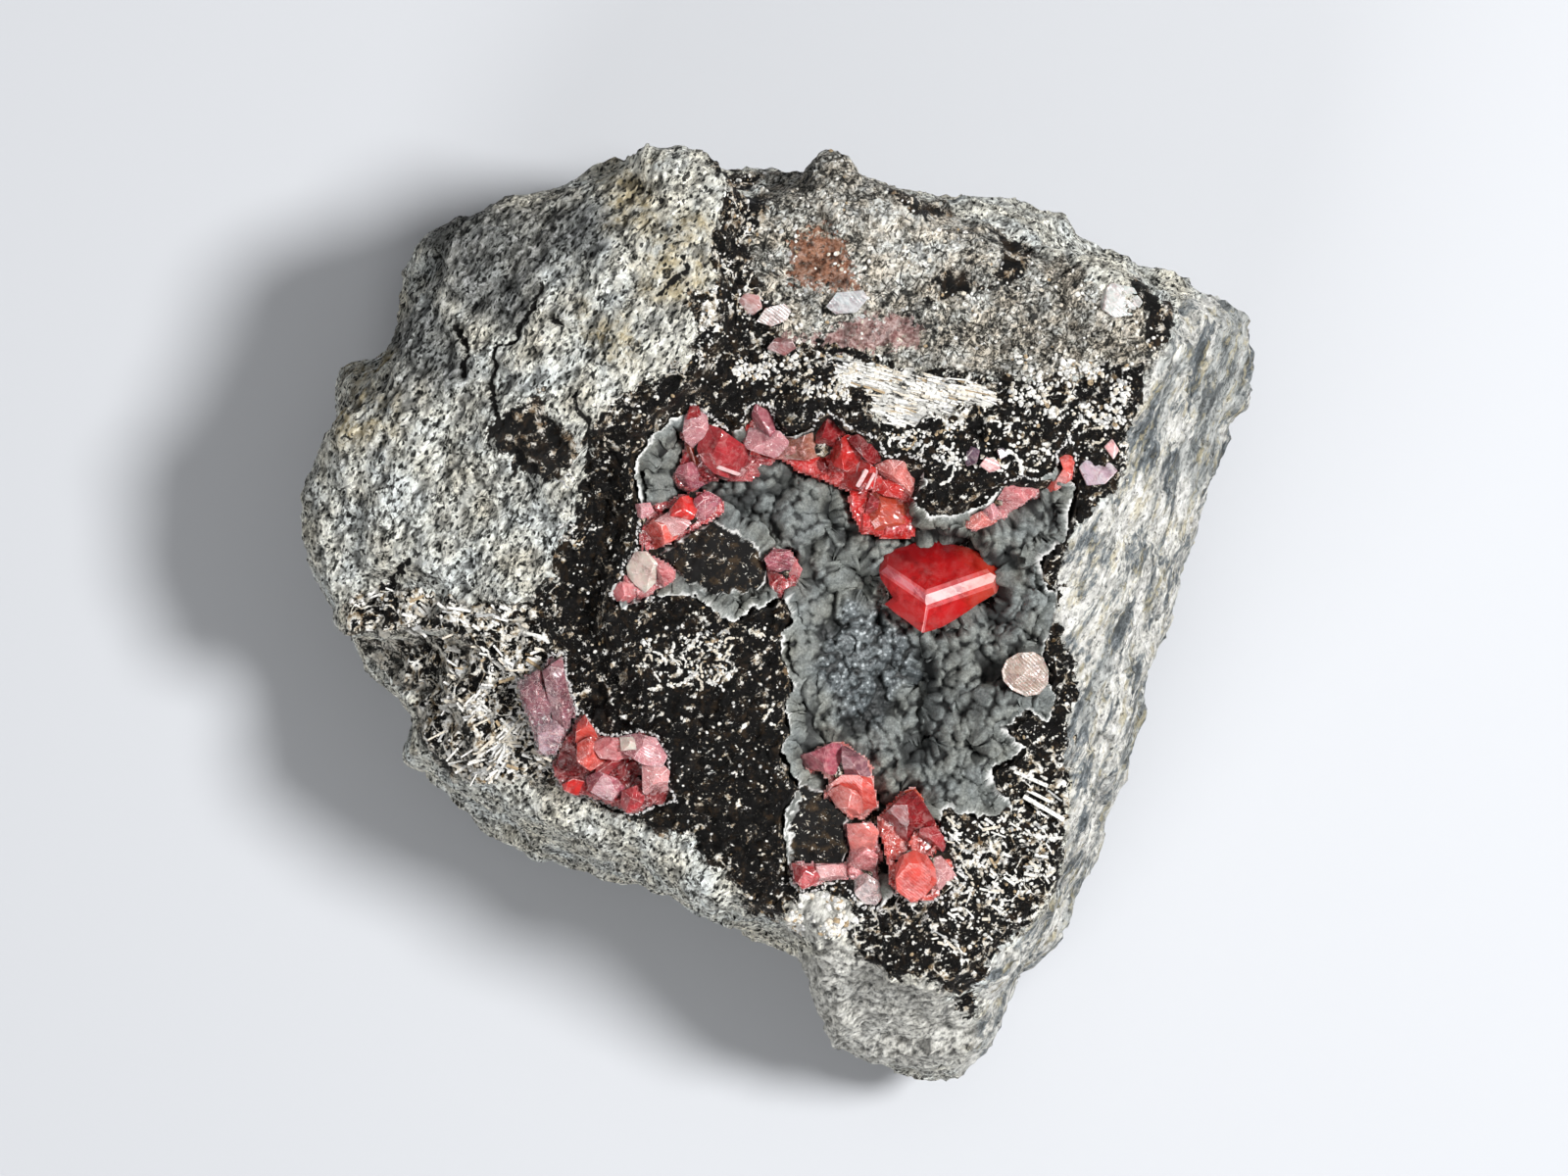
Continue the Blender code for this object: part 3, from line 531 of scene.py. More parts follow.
# The rock's colours, each as stops along the pattern that carries it
rockTones = {
    # grains: the darkest stops are painted shade in the pits between the grains
    "grains": [(0.375, 0.02), (0.41, (0.27, 0.265, 0.24)), (0.445, (0.60, 0.595, 0.55)),
               (0.51, (0.80, 0.795, 0.75)), (0.60, (0.93, 0.925, 0.89))],
    "shaded": [(0.38, 0.012), (0.47, (0.10, 0.105, 0.10)), (0.56, (0.22, 0.225, 0.22)), (0.62, 0.5)],
    "cream": [(0.38, 0.10), (0.44, (0.50, 0.48, 0.41)), (0.52, (0.72, 0.70, 0.62)),
              (0.62, (0.86, 0.84, 0.78))],
    "specks": [(0.29, 0.05), (0.35, 0.42), (0.41, 0.88), (0.62, 1.0), (0.68, 1.3)],
    "ochreShare": [(0.38, 0.1), (0.62, 0.75)],
    "mottled": [(0.528, (0.005, 0.004, 0.003)), (0.540, (0.06, 0.05, 0.038)),
                (0.552, (0.27, 0.25, 0.215)), (0.61, (0.45, 0.43, 0.385)), (0.66, (0.80, 0.785, 0.745))],
    "warmth": [(0.4, (0.94, 0.98, 1.0)), (0.6, (1.0, 0.93, 0.83))],
    "rust": [(0.38, (0.05, 0.02, 0.012)), (0.48, (0.24, 0.085, 0.04)), (0.58, (0.42, 0.20, 0.12))],
    "pink": [(0.38, (0.10, 0.035, 0.032)), (0.5, (0.32, 0.15, 0.14)), (0.6, (0.56, 0.40, 0.38))],
    # white side: the grey-blue low stops are partly painted shade between grains, the top stops partly
    # painted highlight
    "white": [(0.40, (0.09, 0.10, 0.105)), (0.45, (0.22, 0.245, 0.26)), (0.478, (0.38, 0.38, 0.355)),
              (0.502, (0.66, 0.65, 0.605)), (0.60, (0.86, 0.85, 0.82))],
    "veins": [(0.42, (0.14, 0.15, 0.15)), (0.5, (0.34, 0.36, 0.355)), (0.6, (0.54, 0.55, 0.53))],
    # painted shade in the tiny pits of the white side
    "pits": [(0.395, 0.2), (0.43, 0.7), (0.47, 1.0)],
    "grit": [(0.38, 0.12), (0.5, (0.58, 0.57, 0.52)), (0.62, (0.84, 0.83, 0.78))],
    "blades": [(0.42, 0.01), (0.445, (0.24, 0.23, 0.21)), (0.47, (0.60, 0.59, 0.55)),
               (0.56, (0.82, 0.80, 0.75))],
    "flecks": [(0.38, (0.20, 0.13, 0.07)), (0.5, (0.46, 0.40, 0.31)), (0.6, (0.74, 0.71, 0.65))],
    # painted shade in the hollows
    "hollowShade": [(0.12, 0.34), (0.5, 1.0)],
}


def whiteSide(tree, place, fine, speckle):
    # white, with leaning grey and tan streaks, partly painted shade between the grains and in pits, and
    # partly painted highlight on the whitest grains
    drawn = leaning(tree, place, 64, 3.6, 1.25)
    drift = plus(tree, times(tree, noiseNode(tree, drawn, 0.42, 5, 0.62, 0.8), 0.65),
                 times(tree, noiseNode(tree, drawn, 2.2, 5, 0.75), 0.35))
    veins = rampNode(tree, noiseNode(tree, drawn, 0.16, 3, 0.55, 0.4), [(0.52, 0.0), (0.57, 0.8)])
    pale = mixNode(tree, veins, rampNode(tree, drift, rockTones["white"]),
                   rampNode(tree, drift, rockTones["veins"]))
    tan = rampNode(tree, noiseNode(tree, drawn, 0.8, 6, 0.7), [(0.54, 0.0), (0.62, 0.6)])
    pale = mixNode(tree, tan, pale, (0.50, 0.43, 0.25))
    pale = tinted(tree, pale, rampNode(tree, fine, rockTones["pits"]))
    return tinted(tree, pale, speckle, 0.35)


def rockMaterial():
    material, tree, shader, place = newMaterial("pale broken rock")
    dark, white, ledge = channels(tree, "ground")
    ochre, rust, pink = channels(tree, "tint")
    mottled, shade, cream = channels(tree, "patch")
    relief, fleck, crack = channels(tree, "detail")
    grit, blades = channels(tree, "mineral")[:2]
    ragged = noiseNode(tree, place, 1.2, 6, 0.75)
    dark, blades, pink, rust, mottled, ledge = (
        crispNode(tree, share, ragged, spread) for share, spread in (
            (dark, 1.5), (blades, 1.2), (pink, 2.8), (rust, 2.8), (mottled, 0.9), (ledge, 0.9)))

    # grey grains, with painted shade in the dark pits between them
    turned = leaning(tree, place, 58, 1.72, 1.0)
    tilt, smallShade = facets(tree, turned, 1.9)
    bigTilt, bigShade = facets(tree, place, 0.62)
    fine = noiseNode(tree, turned, 2.1, 8, 0.8)
    grains = plus(tree, times(tree, fine, 0.8), times(tree, smallShade, 0.12),
                  times(tree, bigShade, 0.06))
    coarse = rampNode(tree, noiseNode(tree, place, 0.16, 3, 0.6), [(0.35, 0.0), (0.65, 1.0)])
    cool = mixNode(tree, coarse, (0.92, 0.97, 1.0), (1.0, 0.96, 0.86))
    colour = tinted(tree, rampNode(tree, grains, rockTones["grains"]), cool)

    # thin broken gaps between the grains
    wavy = addNode(tree, "TexNoise", {"Vector": place, "Scale": 1.4, "Detail": 3.0}).outputs[1]
    split = addNode(tree, "TexVoronoi", {"Vector": mixNode(tree, 0.12, turned, wavy), "Scale": 1.15},
                    feature="DISTANCE_TO_EDGE").outputs[0]
    broken = stepNode(tree, noiseNode(tree, place, 0.9, 4, 0.7), 0.48, 0.58)
    gaps = times(tree, stepNode(tree, split, 0.085, 0.02), broken)
    colour = mixNode(tree, times(tree, gaps, 0.7), colour, (0.02, 0.018, 0.015))

    # darker ground, partly painted shade; cream ground, partly painted light; ochre ground; then fine crisp
    # specks from black to bright
    # the painted shade lies on the upper-left slopes that face away from the light, the painted light on
    # the shoulder top
    for share, amount, name in ((shade, 0.8, "shaded"), (cream, 0.65, "cream")):
        colour = mixNode(tree, times(tree, share, amount), colour,
                         rampNode(tree, grains, rockTones[name]))
    stained = rampNode(tree, noiseNode(tree, place, 0.5, 4), rockTones["ochreShare"])
    colour = mixNode(tree, times(tree, ochre, stained), colour, (0.42, 0.33, 0.16))
    speckTilt, speck = facets(tree, turned, 3.1)
    speckle = rampNode(tree, plus(tree, times(tree, speck, 0.5), times(tree, fine, 0.5)),
                       rockTones["specks"])
    colour = tinted(tree, colour, speckle)

    # mottled grey rock with dark and white spots
    spots = plus(tree, times(tree, noiseNode(tree, place, 1.5, 6, 0.72, 0.9), 0.9),
                 times(tree, noiseNode(tree, place, 0.3, 3, 0.6), 0.25), times(tree, cream, 0.05))
    broken = stepNode(tree, noiseNode(tree, place, 0.6, 4, 0.7), 0.50, 0.56)
    gaps = times(tree, stepNode(tree, split, 0.07, 0.02), broken)
    mottle = mixNode(tree, gaps, rampNode(tree, spots, rockTones["mottled"]), (0.01, 0.009, 0.008))
    mottle = tinted(tree, mottle, rampNode(
        tree, noiseNode(tree, place, 0.35, 5, 0.65), rockTones["warmth"]))
    mottle = tinted(tree, mottle, speckle, 0.7)
    colour = mixNode(tree, times(tree, mottled, 0.95), colour, mottle)
    for share, amount, size, name in ((rust, 0.8, 1.3, "rust"), (pink, 0.75, 1.1, "pink")):
        stain = rampNode(tree, noiseNode(tree, place, size, 5, 0.7), rockTones[name])
        colour = mixNode(tree, times(tree, share, amount), colour, stain)
    colour = mixNode(tree, white, colour, whiteSide(tree, place, fine, speckle))

    # grit and blades of white mineral
    gritty = rampNode(tree, noiseNode(tree, turned, 1.9, 5, 0.7), rockTones["grit"])
    colour = mixNode(tree, times(tree, grit, 0.85), colour, gritty)
    bladed = noiseNode(tree, leaning(tree, place, -14, 4.5, 0.83), 1.5, 6, 0.75, 0.3)
    colour = mixNode(tree, blades, colour, rampNode(tree, bladed, rockTones["blades"]))

    # black ground with brown stains and crisp flecks
    brown = rampNode(tree, noiseNode(tree, place, 0.55, 5, 0.7), [(0.5, 0.0), (0.66, 1.0)])
    black = mixNode(tree, brown, (0.004, 0.0037, 0.0034), (0.034, 0.021, 0.011))
    fineFleck = noiseNode(tree, place, 1.7, 5, 0.7, 1.2)
    flecks = plus(tree, times(tree, fleck, 0.55), times(tree, fineFleck, 0.75))
    fleckTone = rampNode(tree, noiseNode(tree, place, 1.1, 3), rockTones["flecks"])
    colour = mixNode(tree, dark, colour,
                     mixNode(tree, stepNode(tree, flecks, 0.72, 0.77), black, fleckTone))
    flecks = plus(tree, times(tree, fleck, 0.4), times(tree, fineFleck, 0.8))
    fleckTone = mixNode(tree, brown, (0.66, 0.63, 0.56), (0.36, 0.28, 0.18))
    colour = mixNode(tree, times(tree, ledge, 0.92), colour,
                     mixNode(tree, stepNode(tree, flecks, 0.575, 0.63), black, fleckTone))

    # painted shade in the hollows, and near-black painted shade in the jagged cracks
    colour = tinted(tree, colour, rampNode(tree, relief, rockTones["hollowShade"]))
    jagged = plus(tree, crack, times(tree, noiseNode(tree, place, 1.3, 6, 0.8), 0.9))
    colour = mixNode(tree, stepNode(tree, jagged, 1.14, 1.19), colour, (0.008, 0.007, 0.006))
    height = plus(tree, times(tree, tilt, 0.75), times(tree, bigTilt, 0.8), times(tree, fine, 0.45),
                  times(tree, speckTilt, 0.5))
    setInputs(tree, shader, {
        "Base Color": colour, "Roughness": rangeNode(tree, dark, 0.82, 0.52),
        "Specular IOR Level": 0.2, "Normal": bumpNode(tree, height, 1.0, 1.0)})
    return material


# The hollow's outline and the black lumps in it
rim = [(-17, 16), (-15.5, 19), (-12, 22), (-10.5, 23), (-8.5, 21), (-6.5, 20), (-4.5, 20.5), (-4, 23),
    (-2, 23), (0, 19.5), (4, 20.5), (5, 22), (8.5, 20), (10.5, 18.5), (11.5, 17), (16, 16.5), (16.5, 14.5),
    (15, 12.5), (17, 10.5), (20.5, 10.5), (24, 12), (26, 14.5), (29, 14), (32, 16.5), (33.5, 19),
    (33.5, 13.5), (32.5, 8), (29.5, 5.5), (30, 3), (31.5, 1.5), (31, -2.5), (30, -4.5), (30, -8),
    (31.5, -10), (30.5, -13), (28.5, -11.5), (25, -14), (28, -16), (24, -18.5), (24, -20), (27, -23.5),
    (23, -24), (18.5, -23), (18, -25.5), (20, -29.5), (18.5, -32), (15.5, -34), (13, -32.5), (11.5, -34.5),
    (9, -34), (7, -31), (3.5, -32.5), (1, -30.5), (0.5, -28), (0.5, -24), (2, -20.5), (0, -16.5),
    (1, -14.5), (0.5, -11.5), (1.5, -9), (0, -5.5), (0, -3), (1.5, -1.5), (0, 1.5), (-3.5, 0), (-5.5, -1.5),
    (-7, -1), (-10, 1.5), (-12, 1.5), (-15, 1.5), (-18.5, 0), (-19.5, 2), (-18, 4), (-16.5, 6.5),
    (-16, 11.5)]
lumps = {
    "island": [(-14.5, 6), (-11.5, 8), (-8, 10), (-6, 9), (-4, 7.5), (-1.5, 5), (-2, 3), (-3.5, 2),
        (-8, 1.5), (-10, 2.5), (-12, 4)],
    "lump": [(2.5, -20.5), (5.5, -21.5), (7.5, -23.5), (7.5, -25.5), (7.5, -28), (7, -30), (5, -31),
        (2, -30.5), (1, -28), (1, -25)],
}


# The dark crust: round bumps on round clusters, and the white seam along its edge (mm);
# bumps as (spacing, smallest radius, largest radius), on the walls as (spacing, radius, seed),
# the field they fill as (left, near edge, width), the glossy middle as (x, y, radius), and
# clefts as (x, y, half width, half length, depth)
crustSettings = {
    "cell": 0.155, "middle": (7, -5.7), "half": 31.5, "bumpField": (-29, -42, 72),
    "clusters": (4.7, 2.0, 3.7), "clusterRise": 0.62, "clusterStep": 1.0,
    "bumps": (1.16, 0.56, 0.86), "bumpRise": 1.15, "beads": (0.6, 0.28, 0.42), "beadRise": 0.6,
    "wall": 1.6, "seamWidth": 0.26, "lip": 0.12, "coarse": 0.5, "floorAbove": 36.2, "lowest": 35.6,
    "belowFloor": 2.2, "underCrystals": 2.6, "wallClumps": (4.2, 2.9, 8.0), "wallBalls": (1.8, 1.2, 3.0),
    "glossyMiddle": (9.5, -6.5, 7.0),
    "clefts": [(16.4, -8.6, 1.5, 4.2, 3.0), (16.4, -16.0, 2.4, 1.2, 2.4), (9.2, 3.4, 2.2, 2.6, 2.4),
               (5.6, 10.6, 1.2, 3.0, 2.0), (18.6, -2.4, 2.6, 1.0, 1.8), (11.6, -26.5, 1.2, 4.2, 3.0),
               (22.5, -15.8, 1.2, 1.6, 1.4), (-12.5, 13.5, 1.6, 1.4, 1.4), (6.2, 5.4, 1.1, 1.6, 1.6)],
}


def bumps(plan, spacing, smallest, largest, seed):
    # height of the tallest round bump over each point, which bump it is, and a number for each
    rng = np.random.default_rng(seed)
    left, near, width = crustSettings["bumpField"]
    rowSpacing = spacing * 0.87
    rows, columns = int(width / rowSpacing), int(width / spacing)
    tree = KDTree(rows * columns)
    sizes = rng.uniform(smallest, largest, rows * columns)
    for row in range(rows):
        for column in range(columns):
            x = left + (column + 0.5 * (row % 2) + rng.uniform(-0.4, 0.4)) * spacing
            y = near + (row + rng.uniform(-0.4, 0.4)) * rowSpacing
            tree.insert((x, y, 0), row * columns + column)
    tree.balance()
    height, index = np.zeros(len(plan)), np.zeros(len(plan), int)
    for i, (x, y) in enumerate(plan.tolist()):
        for place, which, apart in tree.find_n((x, y, 0), 4):
            cap = sizes[which] ** 2 - apart ** 2
            if cap > height[i]:
                height[i], index[i] = cap, which
    return np.sqrt(height), index, rng.random(rows * columns)


def balls(points, size, radius, seed):
    # height of round bumps on a surface of any slope, and a number for each bump
    height, toss = np.empty(len(points)), np.empty(len(points))
    for i, place in enumerate((points / size + seed).tolist()):
        apart, centres = noise.voronoi(place)
        height[i] = max(0.0, radius ** 2 - (apart[0] * size) ** 2)
        toss[i] = noise.cell_vector(centres[0] * 3.7)[0]
    return np.sqrt(height), toss


def gridHeights(tree, xs, ys):
    return np.array([[heightAt(tree, x, y) for x in xs] for y in ys])


def neighbours(heights):
    # the four neighbours of each cell, added up
    return (np.roll(heights, 1, 0) + np.roll(heights, -1, 0)
            + np.roll(heights, 1, 1) + np.roll(heights, -1, 1))


def filled(heights, known, rounds):
    # spreads the known heights smoothly over the unknown cells
    result = np.where(known, heights, np.nanmean(heights[known]))
    for step in range(rounds):
        result = np.where(known, heights, neighbours(result) / 4)
    return result


def blurred(heights, rounds):
    for step in range(rounds):
        heights = (4 * heights + neighbours(heights)) / 8
    return heights


def sampled(heights, plan, x0, y0, cell):
    u = np.clip((plan[:, 0] - x0) / cell, 0, heights.shape[1] - 1.001)
    v = np.clip((plan[:, 1] - y0) / cell, 0, heights.shape[0] - 1.001)
    i, j = u.astype(int), v.astype(int)
    u, v = u - i, v - j
    return ((heights[j, i] * (1 - u) + heights[j, i + 1] * u) * (1 - v)
            + (heights[j + 1, i] * (1 - u) + heights[j + 1, i + 1] * u) * v)


def hollowHeights(rock, plan):
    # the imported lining's height at each place, and that of the rock round the rim, spread inwards
    step = crustSettings["coarse"]
    xs, ys = np.arange(-24, 38, step), np.arange(-39, 28, step)
    lining = gridHeights(treeOf(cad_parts["vug_lining"]), xs, ys)
    known = ~np.isnan(lining) & (np.nan_to_num(lining) > crustSettings["floorAbove"])
    floor = blurred(filled(lining, known, 260), 5)
    top = gridHeights(treeOf(rock), xs, ys)
    rimGrid = np.array([(x, y) for y in ys for x in xs])
    outside = insideDistance(rimGrid, rim).reshape(top.shape) < -0.7
    spread = filled(top, outside & ~np.isnan(top), 160)
    return [sampled(heights, plan, xs[0], ys[0], step) for heights in (floor, spread)]


def buildCrust(material, rock):
    # a fine grid laid over the hollow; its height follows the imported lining
    half, (midX, midY) = crustSettings["half"], crustSettings["middle"]
    cells = int(2 * half / crustSettings["cell"])
    bm = bmesh.new()
    bmesh.ops.create_grid(bm, x_segments=cells, y_segments=cells, size=half * mm)
    bmesh.ops.translate(bm, vec=(midX * mm, midY * mm, 0), verts=bm.verts)
    flat = np.array([v.co[:] for v in bm.verts]) / mm
    inner = insideDistance(flat[:, :2], rim)
    edge = np.maximum(inner, -9)
    near = edge > -1.6
    jitter = np.zeros(len(flat))
    jitter[near] = (0.42 * grain(flat[near], 1.5, 3.0) + 0.3 * grain(flat[near], 0.62, 9.0)
                    + 0.1 * grain(flat[near], 0.3, 4.0))
    edge = edge + jitter
    keep = edge > -crustSettings["seamWidth"]
    keepOnly(bm, keep)
    flat, edge = flat[keep], edge[keep]
    plan = flat[:, :2]
    base, lipHeight = hollowHeights(rock, plan)

    warp = 0.5 * np.stack([grain(flat, 2.6, 61.0), grain(flat, 2.6, 71.0)], axis=1)
    big, bigIndex, bigToss = bumps(plan + warp, *crustSettings["clusters"], 5)
    small, smallIndex, smallToss = bumps(plan + 0.5 * warp, *crustSettings["bumps"], 21)
    beads = bumps(plan, *crustSettings["beads"], 44)[0]
    calm = soft(grain(flat, 7.0, 15.0), -0.1, 0.35)
    midX, midY, midSize = crustSettings["glossyMiddle"]
    glossy = 1 - soft(np.hypot(plan[:, 0] - midX, (plan[:, 1] - midY) * 0.8)
                      + 2.0 * grain(flat, 3.0, 6.0), midSize * 0.6, midSize)
    smallShare = (1 - 0.25 * calm) * (1 - 0.2 * glossy)

    # the smooth hollow below the bumps: up to the rim by a wide wall, over it by a thin lip,
    # and down into the rock
    under = base - crustSettings["belowFloor"]
    climb = 1 - soft(edge, 0.0, np.clip(0.35 * (lipHeight - under), 0.7, crustSettings["wall"]))
    under = under * (1 - climb) + (lipHeight + crustSettings["lip"]) * climb
    for x, y, wide, tall, depth in crustSettings["clefts"]:
        apart = np.hypot((plan[:, 0] - x) / wide, (plan[:, 1] - y) / tall)
        under -= depth * (1 - soft(apart + 0.35 * grain(flat, 1.6, 81.0), 0.55, 1.15))
    rise = soft(edge, 0.0, 0.6)

    # black lumps, level with the rock
    lumpShare, lumpEdge = np.zeros(len(flat)), np.full(len(flat), 9.0)
    for outline in lumps.values():
        apart = insideDistance(plan, outline) + jitter[keep] * 1.2 + 0.5 * grain(flat, 1.3, 51.0)
        share = soft(apart, -0.8, 0.35)
        lumpTop = lipHeight - 0.55 + 0.45 * grain(flat, 1.4, 17.0) + 0.28 * grain(flat, 0.6, 2.0)
        under = under * (1 - share) + np.maximum(lumpTop, under) * share
        rise *= 1 - soft(apart, -1.1, -0.4)
        lumpShare = np.maximum(lumpShare, soft(apart, -0.1, 0.1))
        lumpEdge = np.minimum(lumpEdge, np.abs(apart + 0.05))

    # lower under the crystals, which cover it
    covers = [group["bed"][0] or group["blocks"][0][0] for group in crystals.values()] + [mainOutline]
    covered = soft(np.max([insideDistance(plan, outline) for outline in covers], axis=0), -0.1, 0.6)
    covered = np.maximum(covered, soft(insideDistance(plan, mainOutline), -1.3, -0.4))
    lower = np.minimum(under, base - crustSettings["underCrystals"])
    under = under * (1 - covered) + lower * covered
    under -= 0.5 * (1 - soft(edge, -crustSettings["seamWidth"], -0.16))
    flat[:, 2] = np.maximum(under, crustSettings["lowest"])
    piece = newPiece("dark_crust", bm, [material])
    setPlaces(piece.data, flat)

    # bumps straight up where it is flat, and out from the walls where it is steep
    normals = vertexNormals(piece.data)
    wall = 1 - soft(normals[:, 2], 0.55, 0.8)
    spots = np.nonzero(wall * rise > 0.01)[0]
    clump, ball, clumpToss, ballToss = (np.zeros(len(flat)) for number in range(4))
    clump[spots], clumpToss[spots] = balls(flat[spots], *crustSettings["wallClumps"])
    ball[spots], ballToss[spots] = balls(flat[spots], *crustSettings["wallBalls"])
    upward = crustSettings["clusterRise"] * big + crustSettings["bumpRise"] * small * smallShare
    upward += crustSettings["clusterStep"] * (bigToss[bigIndex] - 0.5) * (big > 0)
    upward += crustSettings["beadRise"] * beads * (0.3 + 0.7 * glossy) + 0.05 * grain(flat, 0.5, 12.0)
    outward = 0.45 * clump + 0.85 * ball + 0.3 * (clumpToss - 0.5)
    flat[:, 2] += upward * (1 - wall) * rise
    flat += normals * (outward * wall * rise)[:, None]
    setPlaces(piece.data, flat)
    # painted shade in the creases between bumps, and lighter crowns on the bumps' tops
    creaseShade = np.maximum(1 - soft(big, 0.3, 1.3), 0.75 * (1 - soft(small, 0.12, 0.45))) * (1 - wall)
    creaseShade += np.maximum(1 - soft(clump, 0.3, 1.3), 0.75 * (1 - soft(ball, 0.2, 0.65))) * wall
    crownShading = np.clip(small / 0.8, 0, 1) * 0.75 + np.clip(beads / 0.34, 0, 1) * 0.25
    crownShading = crownShading * (1 - wall) + np.clip(ball / 1.15, 0, 1) * wall
    toss = 0.5 * bigToss[bigIndex] + 0.5 * smallToss[smallIndex]
    toss = toss * (1 - wall) + 0.5 * (clumpToss + ballToss) * wall
    width = 0.04 + 0.22 * grain(flat, 1.7, 33.0)
    seam = 1 - soft(np.abs(edge + 0.1), width, width + 0.12)
    width = 0.02 + 0.2 * grain(flat, 1.5, 43.0)
    seam = np.maximum(seam, (1 - soft(lumpEdge, width, width + 0.14)) * (edge > 0.1))
    setColours(piece.data, "crust", creaseShade * rise, seam, lumpShare)
    setColours(piece.data, "cover", glossy, toss, crownShading + (1 - rise) * (1 - crownShading))
    setColours(piece.data, "beads", np.clip(beads / 0.4, 0, 1))
    return finished(piece, "dark_crust", "vug_lining")


# The crust's colours, each as stops along the pattern that carries it
crustTones = {
    "body": [(0.3, (0.066, 0.069, 0.065)), (0.5, (0.142, 0.148, 0.140)), (0.7, (0.245, 0.252, 0.240))],
    "glossy": [(0.34, (0.030, 0.036, 0.040)), (0.54, (0.088, 0.102, 0.109)), (0.68, (0.23, 0.25, 0.26))],
    # painted shade and light, from the creases up to the crowns
    "crownShading": [(0.1, 0.10), (0.32, 0.52), (0.62, 0.96), (0.95, 1.12)],
    "flecks": [(0.38, (0.16, 0.11, 0.065)), (0.48, (0.44, 0.40, 0.33)), (0.58, (0.72, 0.70, 0.64))],
}


def crustMaterial():
    material, tree, shader, place = newMaterial("dark botryoidal crust")
    creaseShade, seam, lump = channels(tree, "crust")
    glossy, toss, crownShading = channels(tree, "cover")
    bead = channels(tree, "beads")[0]
    fine = noiseNode(tree, place, 3.2, 5, 0.75)
    wide = rampNode(tree, noiseNode(tree, place, 0.14, 3, 0.6), [(0.38, 0.0), (0.62, 1.0)])
    colour = tinted(tree, rampNode(tree, fine, crustTones["body"]),
                    mixNode(tree, wide, (0.95, 1.0, 1.03), (1.04, 1.02, 0.94)))

    # the bluish glossy middle, with painted highlights on the tops of its beads and painted shade between
    # them
    colour = mixNode(tree, times(tree, glossy, 0.85), colour,
                     rampNode(tree, fine, crustTones["glossy"]))
    for low, high, amount, tone in ((0.86, 0.97, 0.5, (0.50, 0.54, 0.55)),
                                    (0.5, 0.2, 0.7, (0.014, 0.017, 0.019))):
        share = times(tree, times(tree, glossy, stepNode(tree, bead, low, high)), amount)
        colour = mixNode(tree, share, colour, tone)
    colour = tinted(tree, colour, rangeNode(tree, toss, 0.82, 1.16))
    # painted light and shade: lighter on the bumps' crowns, near black in the creases between them
    colour = tinted(tree, colour, rampNode(tree, crownShading, crustTones["crownShading"]))
    colour = mixNode(tree, times(tree, creaseShade, 0.85), colour, (0.012, 0.013, 0.013))

    # the flecked black lumps, and the white seam
    brown = rampNode(tree, noiseNode(tree, place, 0.6, 5, 0.7), [(0.5, 0.0), (0.64, 1.0)])
    black = mixNode(tree, brown, (0.004, 0.0037, 0.0034), (0.040, 0.025, 0.012))
    flecks = stepNode(tree, noiseNode(tree, place, 1.25, 5, 0.75, 1.0), 0.605, 0.625)
    fleckTone = rampNode(tree, noiseNode(tree, place, 1.1, 3), crustTones["flecks"])
    colour = mixNode(tree, lump, colour, mixNode(tree, flecks, black, fleckTone))
    colour = mixNode(tree, seam, colour, (0.62, 0.62, 0.60))
    rough = mixNode(tree, lump, rangeNode(tree, glossy, 0.62, 0.34), (0.96, 0.96, 0.96))
    setInputs(tree, shader, {
        "Base Color": colour, "Roughness": rough, "Specular IOR Level": 0.3,
        "Normal": bumpNode(tree, noiseNode(tree, place, 5.5, 4, 0.7), 0.6, 0.14)})
    return material


# The black ground round the hollow: a fine sheet over the rock, and how far its broken
# lumps and pale flecks stand out (mm); busy places as (x, y, half width, half length, more)
groundSettings = {
    "cell": 0.25, "x": (-53.0, 43.0), "y": (-50.0, 54.0), "lumps": (2.4, 0.30), "bits": (1.05, 0.20),
    "sponge": 0.14, "fleckRise": 0.2, "rise": 0.22, "sink": 0.75, "steepest": 0.34, "above": 28,
    "density": {"darkRing": 0.28, "darkVein": 0.42, "darkLedge": 0.85},
    "busy": [(-2, 27, 12, 3.5, 0.02), (30, 22, 8, 5, 0.2), (-9, -5.5, 6, 5, 0.15), (27, -26, 6, 6, 0.35),
             (30, -18, 3, 4, 0.4), (16, -36, 9, 5, 0.3), (-24, 16, 3, 9, 0.2), (-24, -10, 4, 6, 0.1),
             (-6, -23, 9, 9, -0.25), (-22, 3, 3, 8, -0.45), (12, -39, 5, 4, -0.2)],
}


def steepness(bm, heights):
    # mean step (mm) from each vertex to its neighbours, smoothed
    bm.verts.index_update()
    ends = np.array([[v.index for v in edge.verts] for edge in bm.edges])
    number = np.maximum(np.bincount(ends.ravel(), minlength=len(heights)), 1)
    step = np.repeat(np.abs(heights[ends[:, 0]] - heights[ends[:, 1]]), 2)
    mean = np.bincount(ends.ravel(), weights=step, minlength=len(heights)) / number
    for turn in range(3):
        nearby = np.bincount(ends.ravel(), weights=mean[ends[:, ::-1]].ravel(),
                             minlength=len(heights)) / number
        mean = 0.5 * mean + 0.5 * nearby
    return mean


